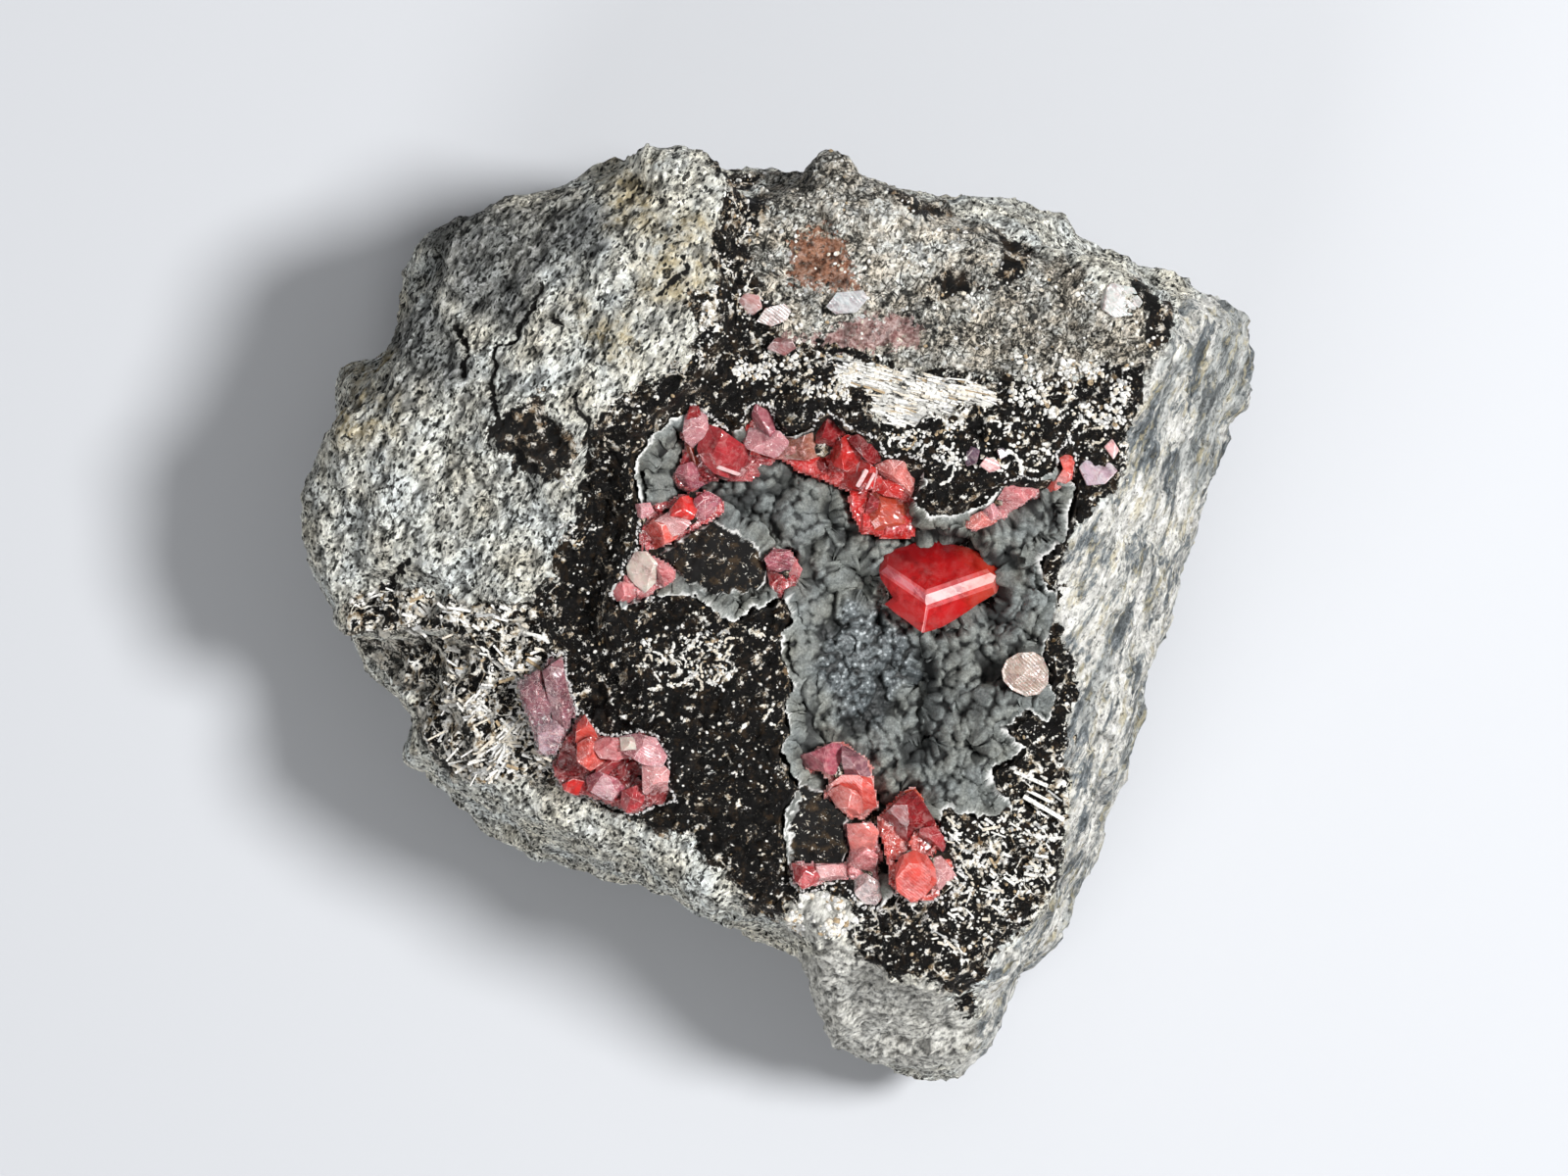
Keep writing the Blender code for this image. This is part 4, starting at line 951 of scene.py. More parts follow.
def buildGround(material, rock):
    low, high = np.array([groundSettings["x"], groundSettings["y"]]).T
    size, middle = high - low, (low + high) / 2
    counts = (size / groundSettings["cell"]).astype(int)
    bm = bmesh.new()
    bmesh.ops.create_grid(bm, x_segments=int(counts[0]), y_segments=int(counts[1]), size=0.5)
    grid = Matrix.Translation((*middle * mm, 0)) @ Matrix.Diagonal((*size * mm, 1, 1))
    bmesh.ops.transform(bm, matrix=grid, verts=bm.verts)
    flat = np.array([v.co[:] for v in bm.verts]) / mm
    plan = flat[:, :2]
    inner = np.full(len(flat), -9.0)
    density = np.full(len(flat), 0.4)
    for name, share in groundSettings["density"].items():
        apart = insideDistance(plan, zones[name])
        density = np.where(apart > inner, share, density)
        inner = np.maximum(inner, apart)
    for name in ("streakPatch", "whiteGrit", "whiteFace"):
        inner = np.minimum(inner, -insideDistance(plan, zones[name]) + 0.3)
    fromRim = -insideDistance(plan, rim)
    near = (inner > -2.5) & (fromRim > -0.6)
    ragged = np.zeros(len(flat))
    ragged[near] = 1.5 * grain(flat[near], 2.8, 2.0) + 0.9 * grain(flat[near], 0.95, 5.0)
    keep = near & (inner + ragged > -0.5) & (fromRim > -0.25)
    keepOnly(bm, keep)
    flat, inner, fromRim, density = flat[keep], (inner + ragged)[keep], fromRim[keep], density[keep]
    plan = flat[:, :2]
    tree = treeOf(rock)
    flat[:, 2] = [heightAt(tree, x, y, noRock) for x, y in plan.tolist()]
    steep = steepness(bm, flat[:, 2])
    keep = ~((steep > groundSettings["steepest"]) | (flat[:, 2] < groundSettings["above"]))
    keepOnly(bm, keep)
    flat, inner, fromRim, density, steep = (a[keep] for a in (flat, inner, fromRim, density, steep))
    plan = flat[:, :2]
    for x, y, wide, tall, more in groundSettings["busy"]:
        reach = ((plan[:, 0] - x) / wide) ** 2 + ((plan[:, 1] - y) / tall) ** 2
        density += more * np.exp(-reach)
    density += 0.35 * grain(flat, 4.5, 14.0) + 0.25 * (1 - soft(inner, 0.0, 3.0))
    density = np.clip(density, 0, 1.1)
    bent = flat + 0.7 * np.stack([grain(flat, 1.6, 24.0), grain(flat, 1.6, 34.0),
                                  np.zeros(len(flat))], axis=1)
    curl = grain(bent, 1.9, 54.0)
    spot = grain(slanted(flat, 40, 1.5), 0.8, 5.0, 3)
    fleck = np.maximum(soft(spot + 0.6 * density, 0.50, 0.62),
                       (1 - soft(np.abs(curl), 0.05, 0.1)) * soft(density, 0.3, 0.7))
    relief = groundSettings["lumps"][1] * chips(flat + 0.3 * bent, groundSettings["lumps"][0], 4.0)
    relief += groundSettings["bits"][1] * chips(flat, groundSettings["bits"][0], 9.0)
    relief += groundSettings["sponge"] * grain(flat, 0.6, 44.0, 2)
    calm = 0.3 + 0.7 * soft(fromRim, 0.0, 1.3)
    height = groundSettings["rise"] + (relief + groundSettings["fleckRise"] * fleck) * calm
    height -= groundSettings["sink"] * (1 - soft(inner, -0.5, 0.5))
    height -= 0.3 * (1 - soft(fromRim, -0.25, 0.4))
    height -= groundSettings["sink"] * soft(steep, 0.5 * groundSettings["steepest"],
                                            0.9 * groundSettings["steepest"])
    flat[:, 2] += height
    piece = newPiece("black_ground", bm, [material])
    setPlaces(piece.data, flat)
    setColours(piece.data, "flecks", 0.5 + 0.4 * spot, 0.5 + 0.5 * curl, density / 1.1)
    # how high the relief stands, for the painted shade in its low spots
    setColours(piece.data, "hollowShade", np.clip(0.5 + 1.1 * relief, 0, 1))
    return finished(piece, "pale_rock", "matrix")


def groundMaterial():
    # black, with crisp pale flecks and thin curls where the density is high
    material, tree, shader, place = newMaterial("black ground")
    spot, curl, density = channels(tree, "flecks")
    relief = channels(tree, "hollowShade")[0]
    fine = noiseNode(tree, place, 2.3, 6, 0.75, 0.6)
    shift = mathNode(tree, "SUBTRACT", fine, 0.5)
    level = plus(tree, spot, times(tree, density, 0.27), times(tree, shift, 1.1))
    spots = stepNode(tree, level, 0.765, 0.795)
    away = plus(tree, mathNode(tree, "SUBTRACT", curl, 0.5), times(tree, shift, 0.16))
    curls = stepNode(tree, mathNode(tree, "ABSOLUTE", away), 0.036, 0.020)
    dense = plus(tree, density, noiseNode(tree, place, 0.8, 4, 0.7))
    curls = times(tree, curls, stepNode(tree, dense, 0.95, 1.05))
    tiny = times(tree, stepNode(tree, noiseNode(tree, place, 3.0, 4, 0.7), 0.63, 0.66), 0.7)
    tiny = times(tree, tiny, mathNode(tree, "ADD", density, 0.25, clamp=True))
    mask = mathNode(tree, "MAXIMUM", mathNode(tree, "MAXIMUM", spots, curls), tiny)
    brown = rampNode(tree, noiseNode(tree, place, 0.8, 6, 0.75), [(0.53, 0.0), (0.66, 1.0)])
    black = mixNode(tree, brown, (0.003, 0.0028, 0.0026), (0.026, 0.016, 0.008))
    tone = rampNode(tree, noiseNode(tree, place, 0.9, 5, 0.7), [
        (0.36, (0.13, 0.08, 0.035)), (0.44, (0.40, 0.34, 0.25)), (0.50, (0.68, 0.65, 0.58)),
        (0.62, (0.86, 0.85, 0.82))])
    # darker in the low spots of the relief: painted shade
    colour = tinted(tree, mixNode(tree, mask, black, tone),
                    rampNode(tree, relief, [(0.1, 0.35), (0.5, 1.0)]))
    height = plus(tree, times(tree, facets(tree, place, 2.0)[0], 0.6), times(tree, fine, 0.25),
                  times(tree, mask, 0.10))
    setInputs(tree, shader, {
        "Base Color": colour, "Roughness": rangeNode(tree, mask, 0.46, 0.75),
        "Specular IOR Level": 0.09, "Normal": bumpNode(tree, height, 0.9, 1.0)})
    return material


# The crystals, by the node each group stands for. Each has a bed of small facets with its
# outline, and blocks: outline, top of the roof, the roof's faces as compass direction and
# slope, tone and frosting
crystals = {
    "upper_left_crystal": {
        "bed": ([(-11.7, 21.5), (-10.4, 23.5), (-8.6, 22.4), (-6, 20.3), (-4.1, 19.2), (-1.1, 17.4),
            (-0.7, 16.1), (-3.7, 14.4), (-7.1, 14.6), (-9.3, 14.3), (-10.4, 13.1), (-12.2, 13.8),
            (-13, 15.2), (-12, 17), (-11.4, 18.7), (-12.1, 20.4)], "rose", 0.5),
        "blocks": [
        ([(-8.6, 21.3), (-7.2, 20.8), (-5.8, 19.8), (-4.3, 18.8), (-1.8, 17.2), (-1.9, 16.3), (-4.1, 14.9),
          (-6.1, 14.8), (-7.9, 15.4), (-9.3, 16.8), (-10, 18.3), (-9.7, 19.7)], (-7.1, 18.9, 47.9),
          [(-62, 30), (28, 20), (160, 40)], "rose", 0.1),
        ([(-11.1, 19), (-9.7, 19.7), (-8.6, 17.9), (-7.7, 15.4), (-8.6, 14.9), (-10.2, 16.1),
          (-11.3, 17.4)], (-9.7, 17.8, 46.6), [(-100, 38), (30, 34), (150, 40)], "orange", 0.2),
        ([(-11.5, 20.4), (-11.3, 22.2), (-10, 23.3), (-8.6, 22.2), (-8.4, 20.8), (-9.3, 19), (-10.4, 18.3),
          (-11.3, 19.2)], (-10, 21.2, 48.4), [(-70, 24), (60, 38), (178, 30)], "frost", 0.9),
        ([(-11.1, 21.7), (-10.6, 23.5), (-9.6, 23.3), (-9.3, 22.2), (-10.2, 21.5)], (-10.3, 22.4, 48.5),
          [(-60, 30), (80, 36), (200, 40)], "dark", 0.3),
        ([(-10.4, 17), (-8.6, 15.8), (-7.9, 14.7), (-9.3, 14), (-10.6, 13.1), (-12.2, 13.8), (-12.9, 15.1),
          (-12, 16.5)], (-10.6, 16.1, 45.4), [(-110, 34), (10, 34), (130, 40)], "mauve", 0.7),
        ([(-7.9, 16.8), (-6.1, 17.2), (-3.8, 15.8), (-3.8, 14.8), (-6.6, 14.7), (-7.9, 15.2)],
          (-6.1, 16.3, 45.4), [(-75, 44), (40, 24), (165, 30)], "pale", 0.3),
        ([(-7.7, 16.1), (-5.1, 15.2), (-4.7, 15.5), (-7.4, 16.5)], (-6.2, 15.8, 46.4), [(-75, 14)],
          "glint", 0),
        ]},
    "upper_crystals": {
        "bed": ([(-4.5, 19.5), (-4.6, 21.5), (-3.6, 23.5), (-1.6, 23.5), (-0.8, 21.5), (0.3, 19.7),
            (1.6, 19.6), (3.6, 20.6), (4.1, 22.2), (5.4, 22.6), (6.6, 21.7), (8.4, 20.4), (11, 19.5),
            (12, 17.4), (14.4, 17.7), (16.3, 17), (16.1, 14.7), (15.2, 12.2), (16.1, 9.6), (15.2, 7.9),
            (11.5, 7.9), (8.8, 8.7), (7.7, 11.3), (7.5, 13.2), (5.7, 14.1), (1.6, 15.7), (0, 16.9),
            (-2, 16.9), (-3.8, 17.8)], "scarlet", 0.4),
        "blocks": [
        ([(-3.8, 19.7), (-3.7, 22.2), (-3.2, 23.5), (-1.7, 23.7), (-1.1, 22.2), (-0.7, 20.4), (-0.9, 19.2)],
          (-2.5, 22.1, 48.2), [(-86, 22), (10, 40), (175, 40)], "mauve", 0.5),
        ([(-4.8, 19.2), (-4.1, 21.1), (-1.8, 20.8), (-0.2, 20.4), (0.9, 19.2), (0.5, 17.9), (-0.9, 17.2),
          (-2.5, 17.7), (-4.1, 18.3)], (-1.8, 19.9, 47.4), [(-80, 34), (60, 24), (180, 30)], "frost", 0.8),
        ([(-0.5, 19.7), (1.6, 19.6), (4.3, 20.6), (4.5, 19), (4.3, 17.4), (2.7, 17), (0.5, 17.2),
          (-0.7, 18.1)], (2.3, 19, 47.3), [(-78, 24), (92, 14), (0, 20)], "brown", 0.6),
        ([(-2, 17.9), (0.2, 18.6), (2.3, 18.7), (4.1, 18.6), (4.5, 17.4), (3.6, 16.9), (0.9, 17.1),
          (-1.8, 17.3)], (1.6, 18.1, 46.9), [(-84, 46), (80, 16), (0, 16)], "salmon", 0.9),
        ([(0.9, 17.2), (3.8, 17.2), (5.9, 16.5), (7, 15.4), (7, 14.5), (5.3, 14.6), (3.4, 15.4),
          (1.6, 16.3)], (4.5, 16.6, 44.8), [(-100, 38), (60, 26), (180, 36)], "dark", 0.1),
        ([(3.8, 19), (3.8, 21.3), (4.8, 22.6), (5.9, 22.2), (7, 20.8), (7.7, 19.7), (6.1, 18.6), (5, 17.9)],
          (5.6, 20.5, 48.2), [(-116, 34), (8, 30), (130, 34)], "dark", 0.2),
        ([(5, 17.9), (6.1, 19.2), (7.5, 20.1), (8.8, 19.7), (9.7, 18.3), (8.8, 16.5), (7.5, 15.6),
          (5.9, 16.3)], (7.2, 18.3, 48.2), [(-110, 26), (20, 30), (140, 34)], "scarlet", 0.1),
        ([(7.2, 19.7), (8.8, 20.1), (10.6, 19.4), (11.5, 18.3), (11.4, 16.8), (10.2, 16.3), (8.8, 17.9)],
          (9.2, 18.7, 48.4), [(-130, 22), (20, 34), (140, 30)], "dark", 0.5),
        ([(5.9, 16.3), (7.2, 17.2), (9.3, 17.2), (10.9, 16.1), (10.6, 13.8), (9.3, 13.4), (7.5, 13.9),
          (6.1, 14.9)], (8.1, 16.5, 47.6), [(-52, 24), (-140, 40), (80, 26)], "scarlet", 0.2),
        ([(8.6, 17), (10, 16.8), (11.1, 15.8), (10.6, 13.7), (9.3, 13.5), (8.4, 14.7)], (9.5, 16.2, 47.8),
          [(-38, 16), (-120, 36), (100, 24)], "pale", 0.4),
        ([(8.4, 14), (8.9, 13.8), (10, 15.8), (9.5, 16.1)], (9.2, 14.9, 47.75), [(-38, 16)], "glint", 0),
        ([(9.5, 13.7), (9.8, 13.6), (10.8, 15.4), (10.5, 15.7)], (10.1, 14.6, 47.6), [(-38, 16)],
          "glint", 0),
        ([(10.6, 16.5), (12.5, 17.4), (14.3, 17.7), (16.1, 17.2), (16.1, 15.2), (14.9, 12.7), (13.4, 12.5),
          (12, 12.8), (10.4, 13.5)], (13.1, 15.6, 47.2), [(-70, 22), (60, 22), (180, 24)], "salmon", 1),
        ([(11.1, 14.7), (12.9, 15.2), (14.3, 14.3), (13.8, 12.6), (12, 12.8), (10.6, 13.4)],
          (12.4, 14, 46.6), [(-90, 30), (40, 30), (170, 34)], "scarlet", 0.7),
        ([(7.5, 13.6), (9.5, 13.6), (12.2, 13.1), (14, 12.7), (15.4, 11.3), (16, 9.7), (15.4, 8.2),
          (14, 7.9), (11.5, 8.2), (9.3, 8.5), (8.4, 10.2), (7.7, 12)], (11.5, 11.8, 45.2),
          [(-78, 18), (12, 26), (180, 38)], "orange", 0.15),
        ([(10.2, 13.4), (11.3, 13.2), (11.9, 10.9), (11.5, 8.3), (10, 8.4), (9.5, 10.9)],
          (10.7, 12.2, 45.6), [(-84, 18), (0, 40), (176, 34)], "rose", 0.3),
        ]},
    "left_upper_crystal": {
        "bed": ([(-16.5, 11.3), (-15.2, 12.3), (-13.4, 12.5), (-11.1, 13.4), (-8.8, 13.7), (-6.8, 12.7),
            (-6.6, 10.9), (-8.6, 9.6), (-10.4, 8.7), (-12.2, 7.7), (-14.7, 6.5), (-16.2, 6.2), (-16.9, 7.9),
            (-16.5, 9.6)], "rose", 0.8),
        "blocks": [
        ([(-16.2, 9.1), (-14.7, 10.6), (-12.7, 10.4), (-11.1, 9.3), (-12.2, 7.9), (-14.7, 6.7),
          (-16.1, 6.6)], (-14.2, 9.3, 47), [(-70, 26), (40, 26), (165, 30)], "coral", 0.6),
        ([(-13.1, 11.3), (-11.8, 12.9), (-10, 13.2), (-9.3, 12), (-10.2, 10.2), (-11.8, 9.5),
          (-12.9, 10.2)], (-11.2, 12, 47.8), [(-80, 34), (20, 34), (150, 28)], "scarlet", 0.2),
        ([(-14.9, 10), (-12.9, 11.3), (-11.1, 11.1), (-10.4, 9.7), (-11.8, 8.4), (-13.8, 7.9)],
          (-12.6, 10.2, 47.4), [(-40, 24), (80, 34), (190, 30)], "pale", 0.9),
        ([(-10.2, 12.7), (-8.6, 13.6), (-7, 12.7), (-6.8, 11.1), (-8.6, 10), (-10.2, 9.3), (-10.6, 10.9)],
          (-8.8, 12, 47), [(-60, 28), (50, 28), (180, 36)], "mauve", 0.9),
        ([(-17, 12), (-15.2, 12.2), (-14.7, 11.1), (-16.1, 10.2), (-17, 10.6)], (-15.9, 11.4, 47.2),
          [(-30, 30), (90, 34), (210, 34)], "frost", 0.9),
        ]},
    "left_lower_crystal": {
        "bed": ([(-18.3, 5.2), (-16.8, 6.8), (-15.2, 6.6), (-12.2, 4.6), (-12.2, 3.2), (-15.2, 1),
            (-17.9, 0.3), (-20, 1.5), (-18.8, 2.9)], "pink", 0.8),
        "blocks": [
        ([(-18.1, 4.8), (-17, 6.6), (-15.6, 6.6), (-14.3, 5.2), (-14.5, 2.9), (-15.8, 1.6), (-17.2, 2.7),
          (-17.9, 3.6)], (-16.4, 5.2, 47.6), [(-60, 26), (60, 30), (185, 34)], "cream", 0.7),
        ([(-16.1, 3.8), (-14.5, 5.7), (-12.5, 4.5), (-12.3, 3.4), (-14, 2), (-15.6, 1.2), (-16.3, 2.3)],
          (-14.2, 4.3, 47.2), [(-90, 28), (30, 32), (150, 30)], "pink", 0.6),
        ([(-19.9, 1.8), (-18.8, 3.1), (-17, 2.9), (-16.3, 1.6), (-17.7, 0.5), (-19.2, 0.7)],
          (-18.1, 2.1, 46.4), [(-80, 30), (40, 30), (160, 34)], "pink", 0.4),
        ]},
    "island_crystal": {
        "bed": ([(-2.3, 6.1), (-0.7, 7.1), (1.1, 6.7), (2.5, 4.5), (1.7, 2.6), (-0.2, 0.8), (-1.7, 2.5)],
            "rose", 0.7),
        "blocks": [
        ([(-2.2, 5.7), (-0.9, 6.9), (0.7, 6.8), (1.6, 5.7), (0.9, 4.1), (-0.5, 4.1), (-1.6, 4.5)],
          (-0.2, 6, 46.9), [(-100, 24), (20, 34), (140, 34)], "mauve", 0.7),
        ([(0, 5.4), (1.4, 5.9), (2.4, 4.5), (1.8, 2.9), (0.2, 1.4), (-0.7, 1.6), (-0.2, 3.6)],
          (0.9, 4.7, 46.6), [(-40, 34), (100, 34), (178, 36)], "pink", 0.5),
        ([(-1.9, 4.5), (-0.7, 5), (0.2, 3.6), (-0.5, 1.4), (-1.5, 2.5)], (-1, 4.1, 46),
          [(-100, 26), (10, 38), (170, 34)], "dark", 0.5),
        ]},
    "right_strip_crystal": {
        "bed": ([(20.4, 10.2), (24, 11.9), (25.8, 14.4), (27.6, 15.2), (29.9, 14.6), (31.7, 15.2),
            (31.6, 17.9), (33.1, 19.6), (34, 17), (33.5, 14.6), (31.5, 13.2), (28.1, 11.9), (26.3, 10.3),
            (22.4, 8.8), (20.5, 9.2)], "pink", 0.8),
        "blocks": [
        ([(20.4, 10), (22, 10.8), (24.2, 11.8), (26.5, 12.5), (26.5, 10.9), (24.2, 9.5), (22.4, 8.9),
          (20.7, 9.3)], (23.1, 10.6, 45.6), [(-70, 24), (90, 30), (0, 16)], "salmon", 0.8),
        ([(24.2, 11.8), (25.8, 14.3), (27.4, 15.1), (29.7, 14.6), (29.7, 13.2), (27.8, 12.1), (25.8, 10.9)],
          (26.6, 13.5, 47), [(-64, 28), (110, 30), (20, 16)], "pink", 0.9),
        ([(29.4, 14.3), (31.5, 14.7), (32.4, 16.1), (31.7, 17.9), (32.9, 19.4), (33.8, 17), (33.4, 14.8),
          (31.7, 13.5), (29.7, 12.9)], (32.3, 15.6, 47.3), [(-86, 26), (60, 26), (170, 26)], "coral", 0.5),
        ([(22.9, 11.1), (24.7, 12.5), (25.8, 12), (24.7, 10.2), (23.3, 9.7)], (24.4, 11.5, 46.4),
          [(-50, 28), (60, 34), (180, 30)], "frost", 0.9),
        ]},
    "mauve_plate_crystal": {
        "bed": ([(-30.8, -8.4), (-27.8, -6.8), (-26.9, -5.4), (-25.2, -5.2), (-25, -8.2), (-24.3, -10.4),
            (-23.8, -12.2), (-24.7, -14.5), (-26, -17), (-27.4, -17.4), (-28.4, -16.8), (-29.2, -13.8),
            (-30.3, -10.9)], "plum", 1),
        "blocks": [
        ([(-30.6, -8.6), (-28.3, -7), (-26.9, -7.9), (-26.5, -10.4), (-26.9, -13.6), (-28.3, -13.8),
          (-29.7, -11.1)], (-28.1, -9.5, 45.6), [(-80, 14), (60, 18), (190, 22)], "plum", 1),
        ([(-27.8, -7.2), (-25.4, -5.4), (-25, -8.2), (-24.1, -12), (-24.9, -14.3), (-26.5, -13.6),
          (-27.2, -10.4)], (-26, -8.8, 45.7), [(-60, 20), (50, 24), (180, 20)], "plum", 0.9),
        ([(-28.5, -13.1), (-26.7, -12.5), (-25.1, -14), (-26.1, -16.8), (-27.4, -17.3), (-28.2, -16.5)],
          (-26.9, -14, 45.2), [(-90, 24), (30, 24), (160, 24)], "lilac", 0.9),
        ]},
    "pocket_crystals": {
        "bed": ([(-26.3, -16.8), (-24.7, -14.1), (-23.3, -11.9), (-22.2, -13.4), (-21.1, -14.5),
            (-19, -14.8), (-16.5, -14.1), (-14.4, -14.8), (-13, -17.2), (-13.2, -20.4), (-12.3, -22.2),
            (-14.7, -23), (-17.3, -24.1), (-19.2, -23.2), (-22.4, -22.1), (-24.3, -21.8), (-26.1, -20.4),
            (-26.8, -18.6)], "dark", 0.5),
        "blocks": [
        ([(-26.6, -18.8), (-25.8, -16.8), (-24, -14.9), (-23.1, -17.2), (-23.5, -19.5), (-24.7, -21.1),
          (-26, -20.4)], (-25.2, -17.7, 43.4), [(-40, 34), (60, 34), (190, 26)], "dark", 0),
        ([(-24, -15.6), (-23.8, -13.4), (-22.9, -12.2), (-21.7, -14), (-21.1, -15.4), (-22.4, -16.1)],
          (-22.7, -14, 45.4), [(-70, 40), (20, 40), (160, 40)], "coral", 0.3),
        ([(-23.8, -17.7), (-23.8, -15.6), (-22.2, -14.7), (-20.4, -15.4), (-19, -16.3), (-20.4, -17.9),
          (-22.2, -19)], (-22.4, -16, 46.6), [(-80, 24), (20, 24), (170, 34)], "coral", 0.8),
        ([(-22.4, -15.6), (-20.6, -14.9), (-18.6, -14.9), (-16.3, -16.1), (-17, -17.2), (-19.2, -17.7),
          (-21.1, -17.4)], (-19.7, -15.6, 46.4), [(-90, 30), (30, 16), (150, 34)], "pink", 0.6),
        ([(-19.5, -14.9), (-17, -14.4), (-14.5, -14.9), (-13.1, -17.2), (-13.8, -18.6), (-16.1, -18.1),
          (-17.9, -17), (-19.2, -16.3)], (-16.3, -15.8, 46.9), [(-60, 18), (60, 20), (184, 20)],
          "frost", 0.9),
        ([(-18.8, -14.9), (-17, -14.8), (-16.8, -16.3), (-18.6, -16.5)], (-17.7, -15.5, 47.1),
          [(8, 22), (-90, 24), (100, 40)], "cream", 0),
        ([(-16.3, -18.1), (-14.3, -17.4), (-12.9, -18.8), (-13.2, -20.6), (-12.5, -22.2), (-14.7, -22.8),
          (-16.2, -21.3)], (-14.6, -19.2, 46.4), [(-50, 20), (60, 30), (184, 30)], "pale", 1),
        ([(-21.5, -17.7), (-19.9, -17), (-18.1, -17.7), (-17.4, -19), (-18.8, -20.1), (-20.8, -19.9),
          (-21.7, -19)], (-19.8, -17.9, 44.8), [(-90, 34), (30, 30), (150, 36)], "rose", 0.4),
        ([(-18.6, -18.1), (-17, -17.7), (-16.1, -18.8), (-16.3, -20.4), (-17.9, -20.6), (-18.8, -19.5)],
          (-17.4, -18.3, 44.6), [(-100, 36), (10, 36), (130, 36)], "dark", 0.2),
        ([(-22.9, -19.5), (-21.3, -18.8), (-19, -19.7), (-17.9, -21.1), (-18.8, -22.6), (-20.8, -22.2),
          (-22.6, -21.1)], (-20.6, -19.9, 45), [(-84, 30), (40, 26), (160, 30)], "mauve", 0.9),
        ([(-25.6, -20.4), (-24.2, -19.7), (-22.6, -20.1), (-22.4, -21.7), (-24, -21.8), (-25.4, -21.1)],
          (-24, -20.4, 44.4), [(-90, 30), (30, 34), (150, 34)], "scarlet", 0.2),
        ([(-18.6, -21.1), (-16.8, -20.4), (-15.6, -21.7), (-16.5, -23.5), (-17.9, -23.9), (-18.8, -22.9)],
          (-17.2, -21.3, 45.8), [(-80, 34), (40, 30), (160, 34)], "rose", 0.7),
        ]},
    "salmon_crystal": {
        "bed": ([(1.5, -17), (3.6, -16.4), (5.7, -15.3), (7.2, -15.4), (8.6, -16.4), (10.4, -17.7),
            (10.8, -20.4), (11.3, -23.1), (9.7, -24.6), (7.9, -24.7), (6.1, -23), (4.5, -21.8), (5.3, -20),
            (4.3, -19.1), (3.1, -19.4)], "salmon", 0.5),
        "blocks": [
        ([(1.6, -17.1), (3.6, -16.5), (5.7, -15.5), (7, -15.6), (7.9, -17), (7.5, -19), (5.7, -19.4),
          (4.1, -18.7), (2.7, -19)], (5.4, -16.7, 46.4), [(-80, 16), (60, 24), (168, 22)], "mauve", 0.4),
        ([(6.8, -15.6), (8.4, -16.5), (10.2, -17.8), (10.4, -19.5), (8.8, -19.9), (7.2, -19.5),
          (6.8, -17.7)], (8.1, -17.2, 46.2), [(-90, 24), (40, 24), (170, 18)], "plum", 0.3),
        ([(5.3, -20.4), (6.8, -19.2), (8.8, -19.2), (10.4, -19.6), (11.1, -22.9), (9.7, -24.3),
          (8.2, -24.5), (6.1, -22.9), (4.8, -21.7)], (7.9, -19.7, 46), [(-84, 24), (70, 20), (180, 28)],
          "coral", 0.25),
        ([(5, -21.1), (6.6, -20.4), (8.6, -21.1), (9.7, -22.6), (9.1, -24.2), (7.2, -24), (5.9, -22.6)],
          (7.2, -21, 45.8), [(-76, 22), (50, 18), (180, 28)], "salmon", 0.5),
        ]},
    "grey_pink_plate_crystal": {
        "bed": ([(7.1, -24.7), (10.4, -24.6), (11.7, -25.8), (11.3, -27.4), (11.9, -28.5), (11.3, -30),
            (11.4, -31.2), (12, -33.1), (11.2, -34.8), (9.5, -34.8), (8, -33.4), (7.4, -31.7), (7.1, -30),
            (7.7, -28.3), (7.1, -26.5)], "pink", 0.8),
        "blocks": [
        ([(7.4, -24.9), (10.3, -24.7), (11.3, -25.8), (10.6, -28.1), (9.3, -29.2), (7.9, -28.3),
          (7.5, -26.5)], (9.3, -25.6, 45.8), [(-84, 16), (40, 26), (170, 26)], "salmon", 0.5),
        ([(7.7, -27.8), (9.5, -27.4), (11.2, -28.5), (10.8, -31.2), (9.5, -32.4), (7.9, -31.5),
          (7.5, -29.9)], (9.3, -28.5, 45), [(-80, 16), (20, 28), (176, 24)], "pink", 0.9),
        ([(7.9, -31.2), (9.7, -30.6), (11.3, -31.7), (11.8, -33.3), (10.9, -34.5), (9.5, -34.4),
          (8.4, -33.3)], (10, -31.5, 44.2), [(-80, 22), (30, 26), (170, 26)], "grey", 0.9),
        ]},
    "small_rim_crystal": {
        "bed": ([(0.8, -29.2), (4.3, -29.5), (7.4, -29.3), (7.8, -31.7), (5.4, -31.8), (3.8, -32.7),
            (2.3, -32.9), (1, -31.8)], "pink", 0.9),
        "blocks": [
        ([(1, -29.4), (2.7, -29.7), (4.3, -29.8), (4.5, -31.2), (3.6, -32.1), (2.3, -32.6), (1.4, -31.5)],
          (2.7, -30.3, 46.2), [(-84, 26), (80, 28), (20, 12)], "rose", 0.7),
        ([(3.8, -29.8), (5.7, -29.5), (7.2, -29.7), (7.6, -31.2), (5.7, -31.6), (4.3, -31.7)],
          (5.9, -30.2, 46.2), [(-84, 26), (80, 28), (170, 12)], "pale", 0.9),
        ]},
    "lower_crystals": {
        "bed": ([(13.8, -21.1), (15.4, -20.6), (16.5, -22), (17.8, -24.2), (18.8, -26), (19.2, -28.1),
            (20.1, -29.9), (21.2, -31.1), (20.7, -32.4), (19.2, -33.1), (17.2, -34), (15.2, -34.2),
            (13.1, -33.1), (12.2, -31.7), (12.2, -29.9), (11.5, -27.8), (11, -25.6), (11, -24),
            (12.2, -22.6)], "coral", 0.8),
        "blocks": [
        ([(14, -21.5), (15.2, -20.9), (16.4, -22.4), (17.8, -24.7), (17.5, -26), (15.6, -25.6),
